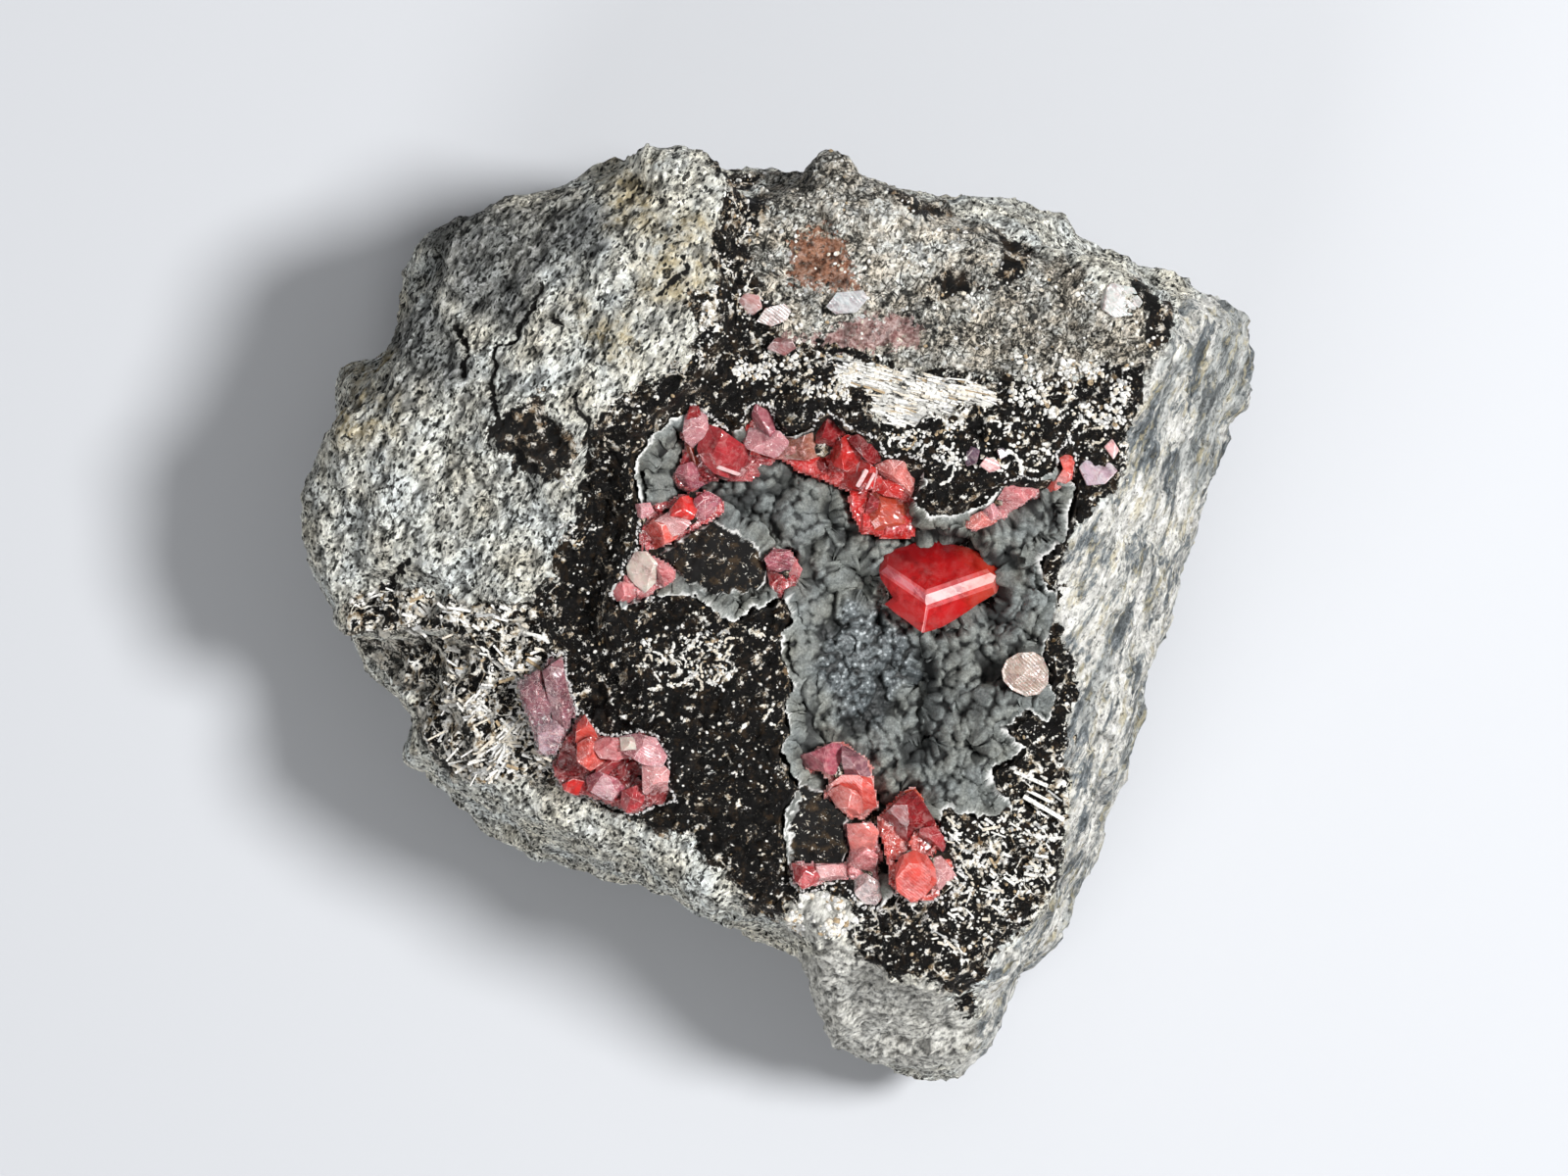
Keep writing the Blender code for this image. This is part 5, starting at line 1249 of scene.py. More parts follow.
          (13.8, -25.1), (12.2, -23.3)], (14.9, -21.9, 46.4), [(-72, 22), (40, 30), (160, 26)],
          "dark", 0.15),
        ([(11.3, -24.2), (12.5, -22.9), (14.3, -24.7), (16.1, -25.6), (15.8, -27.4), (13.7, -28.4),
          (12.8, -28.1), (12, -26.7)], (13.1, -24, 45.9), [(-62, 32), (60, 20), (184, 30)], "dark", 0.4),
        ([(14, -21.1), (15.3, -20.7), (16.5, -22.2), (15.8, -22.9), (14.3, -22.4)], (15.1, -21.3, 46.8),
          [(-80, 40), (40, 36), (100, 30)], "orange", 0.2),
        ([(15.8, -25.4), (17.7, -25.1), (18.8, -26.5), (19.1, -28.3), (18.1, -29.9), (16.8, -29.4),
          (15.6, -27.8)], (17.2, -26.2, 46.2), [(-80, 26), (40, 24), (180, 30)], "rose", 0.6),
        ([(12.8, -29.9), (13.6, -28.5), (15.2, -27.8), (16.8, -28.5), (17.7, -29.9), (17.9, -31.7),
          (16.5, -33.3), (14.9, -34.1), (13.1, -32.6)], (14.9, -29.1, 47.4),
          [(-100, 16), (60, 22), (170, 26)], "coral", 0.15),
        ([(16.5, -29), (18.3, -28.5), (19.5, -29.9), (20.4, -31.2), (19, -32.6), (17.7, -32.6),
          (17.2, -30.8)], (18.1, -30, 46.8), [(-60, 26), (60, 26), (180, 26)], "pale", 1),
        ([(14.7, -31.7), (16.5, -30.8), (18.1, -31.9), (17.2, -33.5), (15.4, -34.1)], (16.4, -31.6, 46.9),
          [(-80, 34), (30, 30), (160, 26)], "salmon", 0.5),
        ]},
    "disc_crystal": {
        "bed": ([], "cream", 0.5),
        "blocks": [
        ([(25.2, -7.2), (25.8, -5.9), (27.2, -5.1), (29, -5), (30.2, -5.7), (30.8, -7.2), (30.7, -8.8),
          (29.7, -10), (28.1, -10.3), (26.4, -9.5), (25.4, -8.4)], (28, -7.5, 46.6),
          [(-80, 8), (40, 8), (160, 8)], "disc", 0.8),
        ]},
}
mainOutline = [(14.4, 7.5), (15.9, 8.1), (17.6, 8.5), (18.8, 7.8), (20.3, 7.6), (21.8, 7.3), (23, 6.7),
    (24, 6), (25.4, 4.8), (25.9, 4.1), (25.9, 3.2), (25.3, 1.7), (24.3, 1.1), (22.9, 0.3), (21.8, -0.5),
    (20.1, -1.6), (18.4, -2.5), (17, -2.9), (16.2, -3.1), (15.7, -2.8), (14.4, -1.8), (13, -0.9),
    (12.1, -0.1), (11.5, 0.3), (12.3, 0.9), (12.6, 1.1), (11.7, 2.5), (11.1, 3.4), (10.9, 4.5), (11, 5.4),
    (11.6, 6.5), (12.9, 7.1)]
# What each tone is: colour of the clear crystal (linear), and how milky it is
tones = {
    "chipGrey": ((0.42, 0.44, 0.45), 0.6), "chipWhite": ((0.44, 0.44, 0.42), 0.7),
    "dustyGrey": ((0.38, 0.30, 0.28), 0.5),
    "lilacGlass": ((0.44, 0.32, 0.38), 0.5), "violet": ((0.10, 0.045, 0.08), 0.1),
    "darkPink": ((0.20, 0.05, 0.05), 0.2), "dustyPink": ((0.30, 0.12, 0.11), 0.4),
    "rose": ((0.56, 0.045, 0.055), 0.15), "dark": ((0.34, 0.016, 0.020), 0.05),
    "scarlet": ((0.80, 0.030, 0.025), 0.05), "orange": ((0.66, 0.080, 0.030), 0.1),
    "coral": ((0.90, 0.11, 0.08), 0.25), "salmon": ((0.80, 0.22, 0.19), 0.35),
    "pink": ((0.70, 0.21, 0.22), 0.4), "pale": ((0.80, 0.36, 0.36), 0.5),
    "frost": ((0.66, 0.28, 0.31), 0.5), "mauve": ((0.46, 0.11, 0.15), 0.3),
    "plum": ((0.30, 0.12, 0.15), 0.3), "lilac": ((0.46, 0.30, 0.35), 0.5),
    "brown": ((0.42, 0.16, 0.10), 0.3), "cream": ((0.80, 0.70, 0.60), 0.7),
    "grey": ((0.46, 0.38, 0.37), 0.6), "disc": ((0.40, 0.29, 0.23), 0.5),
    # the large crystal's faces: the top face painted darker as shade, the left face painted brighter as
    # light shining through it
    "clear": ((0.86, 0.022, 0.024), 0.0), "clearTopPaintedShade": ((0.74, 0.016, 0.018), 0.0),
    "clearLeftPaintedLight": ((0.84, 0.040, 0.042), 0.05), "glint": ((0.86, 0.50, 0.50), 0.9),
    # band: a chamfer's pale mauve, partly its own tone and partly a painted reflection of light from the
    # left
    "band": ((0.78, 0.24, 0.28), 0.6), "border": ((0.88, 0.16, 0.17), 0.4),
}
# The large crystal: its outline, its highest corner, the normals of its faces with a point
# on each, and the edges cut back, as (two faces, depth, middle tone, side tone)
mainCrystal = {
    "outline": mainOutline, "foot": 37.6, "corner": (16.9, 1.0, 46.6),
    "faces": [((16.9, 1.0, 46.6), (0.104, 0.577, 0.810)), ((16.9, 1.0, 46.6), (-0.50, -0.306, 0.81)),
              ((16.9, 1.0, 46.6), (0.44, -0.45, 0.777)), ((22.0, 6.6, 42.9), (0.50, 0.52, 0.69)),
              ((24.3, 2.9, 43.4), (0.76, -0.20, 0.62)), ((12.0, 6.6, 43.0), (-0.52, 0.52, 0.68))],
    "chamfers": [(0, 2, 0.56, "glint", "border"), (0, 1, 0.33, "band", "border"),
                 (1, 2, 0.07, "border", "border")],
    "worn": 0.09, "tops": [("clearTopPaintedShade", 0), ("clearLeftPaintedLight", 1), ("border", 4)],
}
# Tones of marked faces; the first mark is a pale edge in the block's own tone, partly wear and partly a
# painted highlight along the edge
faceTones = ["edge", "border", "glint", "band", "clearTopPaintedShade", "clearLeftPaintedLight"]
# Finish of each group: record slot, clear share, roughness, growth-line strength
crystalLooks = {
    "main_crystal": ("rose_red_crystal", 0.58, 0.03, 0.07),
    "upper_left_crystal": ("deep_rose_crystal", 0.55, 0.10, 0.35),
    "upper_crystals": ("red_crystals", 0.55, 0.09, 0.35),
    "left_upper_crystal": ("frosted_rose_crystal", 0.42, 0.20, 0.6),
    "left_lower_crystal": ("pale_pink_crystal", 0.42, 0.16, 0.5),
    "island_crystal": ("streaked_pink_crystal", 0.42, 0.16, 0.6),
    "right_strip_crystal": ("salmon_strip_crystal", 0.40, 0.20, 0.6),
    "mauve_plate_crystal": ("mauve_crystal", 0.46, 0.18, 0.7),
    "pocket_crystals": ("pink_red_crystals", 0.52, 0.14, 0.5),
    "salmon_crystal": ("salmon_crystal", 0.46, 0.14, 0.4),
    "grey_pink_plate_crystal": ("grey_pink_crystal", 0.42, 0.18, 0.6),
    "small_rim_crystal": ("small_rim_crystal", 0.42, 0.18, 0.6),
    "lower_crystals": ("coral_crystals", 0.55, 0.12, 0.4),
    "disc_crystal": ("pale_orange_crystal", 0.40, 0.30, 0.5),
}
# What the milky veils and streaks are tinted with
milkTints = {
    "all": (0.84, 0.52, 0.50), "disc_crystal": (0.50, 0.42, 0.37), "rock_chips": (0.70, 0.66, 0.64),
}
# Blocks and beds: where they end in the rock, the bed's grid, how far it lies below the
# blocks and its facets as (size, step), the worn edges and the disc's rim (mm)
blockSettings = {
    "foot": 36.6, "bedFoot": 36.8, "bedCell": 0.26, "bedBelow": 2.3,
    "bedChips": ((2.3, 0.75), (0.9, 0.16)), "worn": 0.1, "discRim": (0.28, -0.08),
}


def crystalMaterial(name, clear, rough, growth):
    # the block's own tone, darker and paler in clouds, with white crackle where it is frosted
    large = name == "main_crystal"
    veilSize, veilWarp, veilMost = (0.5, 0.2, 0.5) if large else (0.95, 1.0, 1.0)
    glow, glowReach, coat = (0.8, 0.006, 0.0) if large else (0.35, 0.0022, 0.25)
    material, tree, shader, place = newMaterial(name.replace("_", " "))
    tone = addNode(tree, "Attribute", attribute_name="tone").outputs["Color"]
    frost, milky, edge = channels(tree, "finish")
    cloud = rampNode(tree, noiseNode(tree, place, 0.42, 5, 0.62, 0.5), [(0.34, 0.0), (0.52, 1.0)])
    colour = mixNode(tree, cloud, tinted(tree, tone, (0.50, 0.36, 0.38)), tone)
    chipTilt, chipShade = facets(tree, place, 0.95)
    splinters = addNode(tree, "Mapping", {
        "Vector": place, "Rotation": (0.5, 0.3, math.radians(30)), "Scale": (0.5, 1.6, 1.0)}).outputs[0]
    splinterTilt, splinterShade = facets(tree, splinters, 1.1)
    shades = plus(tree, chipShade, splinterShade)
    colour = tinted(tree, colour, rangeNode(
        tree, shades, 1 - 0.6 * growth, 1 + 0.4 * growth, start=0.2, end=1.8))

    # milky veils and streaks
    milk = mixNode(tree, 0.5, tone, milkTints.get(name, milkTints["all"]))
    veil = rampNode(tree, noiseNode(tree, place, veilSize, 6, 0.72, veilWarp),
                    [(0.48, 0.0), (0.64, veilMost)])
    veil = times(tree, veil, mathNode(tree, "MULTIPLY_ADD", milky, 0.75, 0.5))
    colour = mixNode(tree, veil, colour, milk)
    bands = rampNode(tree, waveNode(tree, place, 0.55, 5.0, 4.0, 1.6), [(0.82, 0.0), (0.95, 1.0)])
    colour = mixNode(tree, times(tree, bands, times(tree, milky, 0.8)), colour, milk)
    if large:
        # painted shadow towards the far edge, warmer towards the right end
        x, y = addNode(tree, "SeparateXYZ", {0: place}).outputs[:2]
        drift = times(tree, noiseNode(tree, place, 0.32, 5, 0.65), 6.0)
        far = plus(tree, mathNode(tree, "SUBTRACT", y, times(tree, x, 0.35)), drift)
        paintedShadow = times(tree, stepNode(tree, far, 0.6, 4.2), 0.6)
        colour = mixNode(tree, paintedShadow, colour, (0.16, 0.006, 0.010))
        warmth = times(tree, stepNode(tree, plus(tree, x, drift), 23.0, 27.0), 0.45)
        colour = mixNode(tree, warmth, colour, (0.88, 0.10, 0.035))

    # crackle: thin wandering lines and specks where it is frosted, and pale edges, partly wear and partly a
    # painted highlight
    wander = mathNode(tree, "SUBTRACT", noiseNode(tree, place, 0.85, 5, 0.66, 0.6), 0.5)
    lines = stepNode(tree, mathNode(tree, "ABSOLUTE", wander), 0.016, 0.006)
    specks = stepNode(tree, noiseNode(tree, place, 2.3, 5, 0.72, 0.8), 0.58, 0.62)
    patches = plus(tree, noiseNode(tree, place, 0.55, 4, 0.65), times(tree, frost, 0.22))
    specks = times(tree, specks, stepNode(tree, patches, 0.62, 0.74))
    crackle = mathNode(tree, "MAXIMUM", specks, times(tree, lines, times(tree, frost, 0.7)))
    worn = times(tree, stepNode(tree, noiseNode(tree, place, 0.8, 4, 0.7), 0.48, 0.60), 0.5)
    frosted = mathNode(tree, "MAXIMUM", times(tree, crackle, stepNode(tree, frost, 0.05, 0.5)),
                       times(tree, edge, worn))
    colour = mixNode(tree, frosted, colour, (0.88, 0.74, 0.72))
    dull = times(tree, stepNode(tree, milky, 0.78, 0.86), 0.55)
    passing = mathNode(tree, "MULTIPLY_ADD", milky, -0.45 * clear, clear)
    height = plus(tree, noiseNode(tree, place, 1.2, 4, 0.6), times(tree, frosted, 0.9),
                  times(tree, waveNode(tree, place, 1.3, 3.0, 3.0), 0.3),
                  times(tree, chipTilt, 3.2), times(tree, splinterTilt, 1.8))
    setInputs(tree, shader, {
        "Base Color": colour, "Roughness": plus(tree, rangeNode(tree, frosted, rough, 0.5), dull),
        "Transmission Weight": times(tree, mathNode(tree, "SUBTRACT", 1.0, frosted), passing),
        "IOR": 1.6, "Subsurface Weight": glow, "Subsurface Radius": (glowReach, 0.0006, 0.0006),
        "Subsurface Scale": 1.0, "Coat Weight": coat, "Coat Roughness": 0.04,
        "Normal": bumpNode(tree, height, growth, 0.15)})
    depth = addNode(tree, "VolumeAbsorption", {"Color": (0.93, 0.28, 0.25, 1), "Density": 90.0})
    setInputs(tree, tree.nodes["Material Output"], {"Volume": depth.outputs[0]})
    return material


def cutAway(bm, point, normal, mark=0):
    geom = list(bm.verts) + list(bm.edges) + list(bm.faces)
    cut = bmesh.ops.bisect_plane(bm, geom=geom, dist=1e-7, plane_co=Vector(point) * mm,
                                 plane_no=Vector(normal).normalized(), clear_outer=True)
    loop = [e for e in cut["geom_cut"] if isinstance(e, bmesh.types.BMEdge)]
    for face in bmesh.ops.edgeloop_fill(bm, edges=loop)["faces"] if loop else []:
        face.material_index = mark


def prism(outline, foot, top):
    # a column with the outline at its top and a slightly smaller foot
    bm = bmesh.new()
    middle = Vector((sum(x for x, y in outline), sum(y for x, y in outline))) / len(outline)
    ring = [bm.verts.new((*(middle + (Vector(p) - middle) * 0.9) * mm, foot * mm)) for p in outline]
    grown = bmesh.ops.extrude_face_region(bm, geom=[bm.faces.new(ring)])
    raised = [v for v in grown["geom"] if isinstance(v, bmesh.types.BMVert)]
    bmesh.ops.translate(bm, vec=(0, 0, (top - foot) * mm), verts=raised)
    bmesh.ops.scale(bm, vec=(1 / 0.9, 1 / 0.9, 1), verts=raised, space=Matrix.Translation(
        (-middle.x * mm, -middle.y * mm, 0)))
    bmesh.ops.recalc_face_normals(bm, faces=bm.faces)
    return bm


def sharpEdges(bm, angle=0.2, shortest=0.35):
    return [e for e in bm.edges if len(e.link_faces) == 2 and e.calc_length() > shortest * mm
            and e.calc_face_angle(0) > angle]


def wornEdges(bm, edges, size, segments):
    # small worn bevels, marked as the first face tone
    worn = bmesh.ops.bevel(bm, geom=edges, offset=size * mm, offset_type="OFFSET", segments=segments,
                           profile=0.5, affect="EDGES", material=-1, clamp_overlap=True)
    for face in worn["faces"]:
        face.material_index = 1


def blockMesh(outline, apex, roof, rng, foot=blockSettings["foot"], corners=5):
    bm = prism(outline, foot, apex[2] + 3)
    for azimuth, slope in roof:
        a, s = math.radians(azimuth), math.radians(slope)
        cutAway(bm, apex, (math.cos(a) * math.sin(s), math.sin(a) * math.sin(s), math.cos(s)))
    # smaller broken faces on corners of the roof
    for number in range(corners):
        # sorted, because a cut can leave the vertices in another order in another run
        top = sorted(tuple(round(c / mm, 4) for c in v.co) for v in bm.verts
                     if v.co.z > max(apex[2] - 3.5, foot + 1.4) * mm)
        corner = Vector(top[int(rng.integers(len(top)))]) * mm
        way = Vector((corner.x - apex[0] * mm, corner.y - apex[1] * mm, 0)).normalized()
        way.rotate(Matrix.Rotation(math.radians(rng.uniform(-50, 50)), 3, "Z"))
        way.z = rng.uniform(0.35, 1.8)
        cutAway(bm, (corner - way.normalized() * rng.uniform(0.15, 0.55) * mm) / mm, way)
    bmesh.ops.remove_doubles(bm, verts=bm.verts, dist=0.04 * mm)
    bmesh.ops.recalc_face_normals(bm, faces=bm.faces)
    wornEdges(bm, sharpEdges(bm), blockSettings["worn"], 1)
    return bm


def mainMesh():
    bm = prism(mainCrystal["outline"], mainCrystal["foot"], mainCrystal["corner"][2] + 2)
    for point, normal in mainCrystal["faces"]:
        cutAway(bm, point, normal)
    bmesh.ops.remove_doubles(bm, verts=bm.verts, dist=0.03 * mm)
    corner = Vector(mainCrystal["corner"])
    normals = [Vector(normal).normalized() for point, normal in mainCrystal["faces"]]
    bm.normal_update()
    # faces of the large crystal get their own tones: painted shade on the top, painted light on the left
    for face in bm.faces:
        for tone, number in mainCrystal["tops"]:
            if face.normal.dot(normals[number]) > 0.999:
                face.material_index = faceTones.index(tone) + 1
    for one, two, depth, middleTone, sideTone in mainCrystal["chamfers"]:
        first, second = normals[one], normals[two]
        middle = (first + second).normalized()
        reach = depth * math.tan((math.pi - first.angle(second)) / 2)
        cutAway(bm, corner - middle * depth, middle, faceTones.index(middleTone) + 1)
        for side, near in ((1, first), (-1, second)):
            way = (middle + near).normalized()
            point = corner - middle * depth + (first - second).normalized() * reach * side
            cutAway(bm, point - way * 0.15 * depth, way, faceTones.index(sideTone) + 1)
    wornEdges(bm, sharpEdges(bm, 0.35, 0.6), mainCrystal["worn"], 2)
    bmesh.ops.recalc_face_normals(bm, faces=bm.faces)
    return bm


def bedMesh(outline, blocks, seed):
    # a crust of small facets that fills the group's outline below its blocks
    corners = np.array(outline)
    low, high = corners.min(axis=0) - 0.4, corners.max(axis=0) + 0.4
    size = float(max(high - low)) / 2
    middle = (low + high) / 2
    bm = bmesh.new()
    count = int(2 * size / blockSettings["bedCell"])
    bmesh.ops.create_grid(bm, x_segments=count, y_segments=count, size=size * mm)
    bmesh.ops.translate(bm, vec=(*middle * mm, 0), verts=bm.verts)
    flat = np.array([v.co[:] for v in bm.verts]) / mm
    inner = insideDistance(flat[:, :2], outline)
    inner += 0.28 * grain(flat, 0.9, seed) + 0.12 * grain(flat, 0.35, seed + 5)
    keepOnly(bm, inner >= 0)
    keepOnly(bm, [len(v.link_faces) > 0 for v in bm.verts])
    flat = np.array([v.co[:] for v in bm.verts]) / mm
    inner = insideDistance(flat[:, :2], outline)
    tops = np.array([apex for shape, apex, roof, tone, frost in blocks])
    weight = 1 / (((flat[:, None, :2] - tops[None, :, :2]) ** 2).sum(axis=2) + 1.0)
    level = (weight * tops[None, :, 2]).sum(axis=1) / weight.sum(axis=1)
    (large, largeStep), (small, smallStep) = blockSettings["bedChips"]
    level += largeStep * chips(flat, large, seed + 1.5) + smallStep * chips(flat, small, seed + 3.5)
    level -= blockSettings["bedBelow"]
    level -= 0.5 * (1 - soft(inner, 0, 0.5))
    for v, z in zip(bm.verts, level):
        v.co.z = z * mm
    grown = bmesh.ops.extrude_face_region(bm, geom=list(bm.faces))
    lowered = [v for v in grown["geom"] if isinstance(v, bmesh.types.BMVert)]
    for v in lowered:
        v.co.z = blockSettings["bedFoot"] * mm
    bmesh.ops.dissolve_faces(bm, faces=[f for f in grown["geom"] if isinstance(f, bmesh.types.BMFace)])
    bmesh.ops.recalc_face_normals(bm, faces=bm.faces)
    return bm


def addBody(whole, bm, outline, tone, frost, rimmed):
    # joins one block to the group and writes its tone and finish, face by face
    mesh = bpy.data.meshes.new("block")
    bm.to_mesh(mesh)
    bm.free()
    marks = np.zeros(len(mesh.polygons), np.int32)
    sides = np.zeros(len(mesh.polygons), np.int32)
    ends = np.zeros(len(mesh.loops), np.int32)
    mesh.polygons.foreach_get("material_index", marks)
    mesh.polygons.foreach_get("loop_total", sides)
    mesh.loops.foreach_get("vertex_index", ends)
    marks = np.repeat(marks, sides)
    points = vertexPlaces(mesh)
    shade = (1 + 0.18 * grain(points, 1.8, 3.0))[ends]
    # pale edges and outlines, partly wear and partly a painted highlight
    worn = (marks == 1).astype(float)
    if rimmed:
        apart = np.abs(insideDistance(points[:, :2], outline))[ends]
        worn = 1 - soft(apart, 0.05, 0.3)
    looks = [tones[tone], tones[tone]] + [tones[name] for name in faceTones[1:]]
    rgb = np.array([look[0] for look in looks])[marks] * shade[:, None]
    milky = np.array([look[1] for look in looks])[marks]
    setColours(mesh, "tone", rgb[:, 0], rgb[:, 1], rgb[:, 2], "CORNER")
    setColours(mesh, "finish", np.full(len(marks), frost), milky, worn, "CORNER")
    mesh.polygons.foreach_set("material_index", [0] * len(mesh.polygons))
    whole.from_mesh(mesh)
    bpy.data.meshes.remove(mesh)


def buildCrystals():
    rng = np.random.default_rng(12)
    for number, (name, (slot, *look)) in enumerate(crystalLooks.items()):
        whole = bmesh.new()
        if name == "main_crystal":
            addBody(whole, mainMesh(), mainOutline, "clear", 0.0, False)
        else:
            outline, bedTone, bedFrost = crystals[name]["bed"]
            if outline:
                bed = bedMesh(outline, crystals[name]["blocks"], 10.0 * number)
                addBody(whole, bed, outline, bedTone, bedFrost, True)
            for shape, apex, roof, tone, frost in crystals[name]["blocks"]:
                body = blockMesh(shape, apex, roof, rng, corners=0 if tone in ("disc", "glint") else 5)
                if tone == "disc":
                    upper = [f for f in body.faces if f.normal.z > 0.9]
                    width, drop = blockSettings["discRim"]
                    ring = bmesh.ops.inset_region(body, faces=upper, thickness=width * mm,
                                                  depth=drop * mm)
                    for face in ring["faces"]:
                        face.material_index = 1
                addBody(whole, body, shape, tone, 0.6 * frost, False)
        flattened(whole)
        material = crystalMaterial(name, *look)
        finished(newPiece(name + "_shown", whole, [material], smooth=False), slot, name)


# Flat chips of clear and pale mineral held in the rock: outline, tone, tilt as compass
# direction and slope, height above the rock (mm)
rockChips = [
    ([(-5.5, 35.2), (-4.2, 36.3), (-2.6, 36), (-2.2, 34.6), (-3.4, 33.5), (-5, 33.9)],
     "dustyPink", -60, 14, 0.6),
    ([(-3.1, 32.9), (-2, 34.5), (0.2, 35.1), (1.2, 34.3), (0.6, 33.1), (-1.2, 32.3)],
     "dustyGrey", -50, 12, 0.6),
    ([(-1.9, 29.8), (-0.8, 31.2), (1.1, 31), (1.7, 29.9), (0.3, 28.9)], "darkPink", -70, 18, 0.9),
    ([(4.9, 34.6), (6.2, 36.3), (9.4, 36.6), (10, 35.6), (8.6, 33.9), (6, 33.7)],
     "chipGrey", 60, 8, 1.1),
    ([(36.2, 36.3), (38, 37.6), (40.6, 37), (41.7, 35.2), (40.6, 33.6), (38.2, 33.3), (36.6, 34.4)],
     "chipWhite", 40, 10, 0.45),
    ([(34, 16.2), (35.3, 17.9), (37.4, 17.4), (38.8, 15.8), (37.2, 14.2), (35, 14)],
     "lilacGlass", 150, 10, 0.5),
    ([(37, 18.6), (38, 19.6), (38.9, 18.2), (38.2, 17)], "pale", 130, 12, 0.35),
    ([(20.6, 17.6), (21.6, 18.8), (22.8, 18.2), (22.4, 16.6), (21.2, 16.2)], "violet", 150, 20, 0.3),
    ([(22.6, 16.4), (23.4, 17.4), (25, 17), (25.2, 15.9), (23.8, 15.5)], "pale", -80, 18, 0.5),
    ([(24.6, 18.2), (25.6, 18.6), (26, 17.5), (25, 17)], "violet", 20, 16, 0.4),
]
# Loose bits on the dark ground: zone, kind, how many, smallest and largest, thickness,
# direction and spread (degrees)
looseBits = [
    ("darkLedge", "lath", 230, 0.9, 2.8, 0.20, -15, 42),
    ("darkLedge", "grain", 420, 0.16, 0.42, 1, 0, 180),
    ("darkRing", "grain", 620, 0.12, 0.30, 1, 0, 180),
    ("darkVein", "grain", 200, 0.12, 0.34, 1, 0, 180),
    ("streakPatch", "lath", 300, 1.0, 3.2, 0.15, -14, 10),
    ("rightGrains", "grain", 360, 0.18, 0.48, 1, 0, 180),
    ("lowerRight", "grain", 220, 0.14, 0.4, 1, 0, 180),
    ("lowerRight", "lath", 70, 0.8, 2.2, 0.18, -20, 40),
    ("whiteGrit", "grain", 190, 0.25, 0.6, 1, 0, 180),
    ("upperBand", "grain", 320, 0.15, 0.42, 1, 0, 180),
    ("fan", "lath", 90, 1.4, 4.2, 0.16, 38, 26),
    ("mottled", "grain", 300, 0.16, 0.40, 1, 0, 180),
    ("curlBand", "curl", 26, 1.0, 2.6, 0.23, 10, 60),
    ("centreVein", "curl", 24, 0.8, 2.2, 0.20, 30, 90),
    ("centreVein", "grain", 90, 0.14, 0.34, 1, 0, 180),
    ("curlBand", "grain", 160, 0.12, 0.34, 1, 0, 180),
    ("lowerRight", "curl", 16, 0.8, 2.0, 0.20, 0, 90),
    ("leftRing", "curl", 12, 0.8, 1.8, 0.15, 60, 60),
]
# Single long laths: place, length, width and direction
longLaths = [
    (-43.8, -3.1, 3.2, 0.6, -17), (-40.6, -4.1, 3.6, 0.7, -19), (-38.2, -5.0, 2.2, 0.5, -16),
    (-42.5, -6.8, 4.2, 0.6, -36), (30.2, -23.1, 5.4, 0.5, -30), (28.7, -19.7, 4.2, 0.42, -24),
    (29.4, -21.6, 3.4, 0.36, -27),
]
# Longer pale curls: start, length, bead size and direction
longCurls = [(18.2, 14.3, 5.6, 0.24, -4), (18.6, 15.9, 3.2, 0.2, 6), (27.6, 15.6, 4.6, 0.32, 58),
             (31.2, 17.2, 3.0, 0.26, 100), (12.6, 19.6, 2.6, 0.2, -30), (-12.6, -4.2, 4.0, 0.26, -60),
             (-9.6, -3.0, 3.4, 0.24, -100), (-15.6, -5.0, 3.6, 0.22, -20)]
# A ring of short curls: middle, radius, how many
curlRing = (25.9, -32.3, 1.5, 14)
# The bits' tones, and how often each is used
bitTones = [(0.80, 0.78, 0.73), (0.76, 0.75, 0.72), (0.66, 0.60, 0.50), (0.40, 0.30, 0.18),
            (0.44, 0.44, 0.43)]
bitShares = (0.36, 0.26, 0.2, 0.08, 0.10)
# No bit lies below this height (mm)
lowestBit = 34


def topAt(trees, x, y):
    return max(heightAt(tree, x, y, noRock) for tree in trees)


def buildChips(trees):
    rng = np.random.default_rng(31)
    whole = bmesh.new()
    for outline, tone, azimuth, slope, lift in rockChips:
        x, y = np.mean(outline, axis=0)
        top = topAt(trees, x, y) + lift
        bm = blockMesh(outline, (float(x), float(y), top), [(azimuth, slope)], rng, top - 3.0, 1)
        addBody(whole, bm, outline, tone, 0.35, False)
    flattened(whole)
    material = crystalMaterial("rock_chips", 0.25, 0.3, 0.5)
    finished(newPiece("rock_chips", whole, [material], smooth=False), "pale_rock", "matrix")


def joined(parts):
    # one mesh of all the bits, gathered a hundred at a time
    whole = bmesh.new()
    for start in range(0, len(parts), 100):
        some = bmesh.new()
        for kind, matrix in parts[start:start + 100]:
            if kind == "lath":
                bmesh.ops.create_cube(some, size=1, matrix=matrix)
            else:
                bmesh.ops.create_icosphere(some, subdivisions=1, radius=1, matrix=matrix)
        mesh = bpy.data.meshes.new("some bits")
        some.to_mesh(mesh)
        some.free()
        whole.from_mesh(mesh)
        bpy.data.meshes.remove(mesh)
    return whole


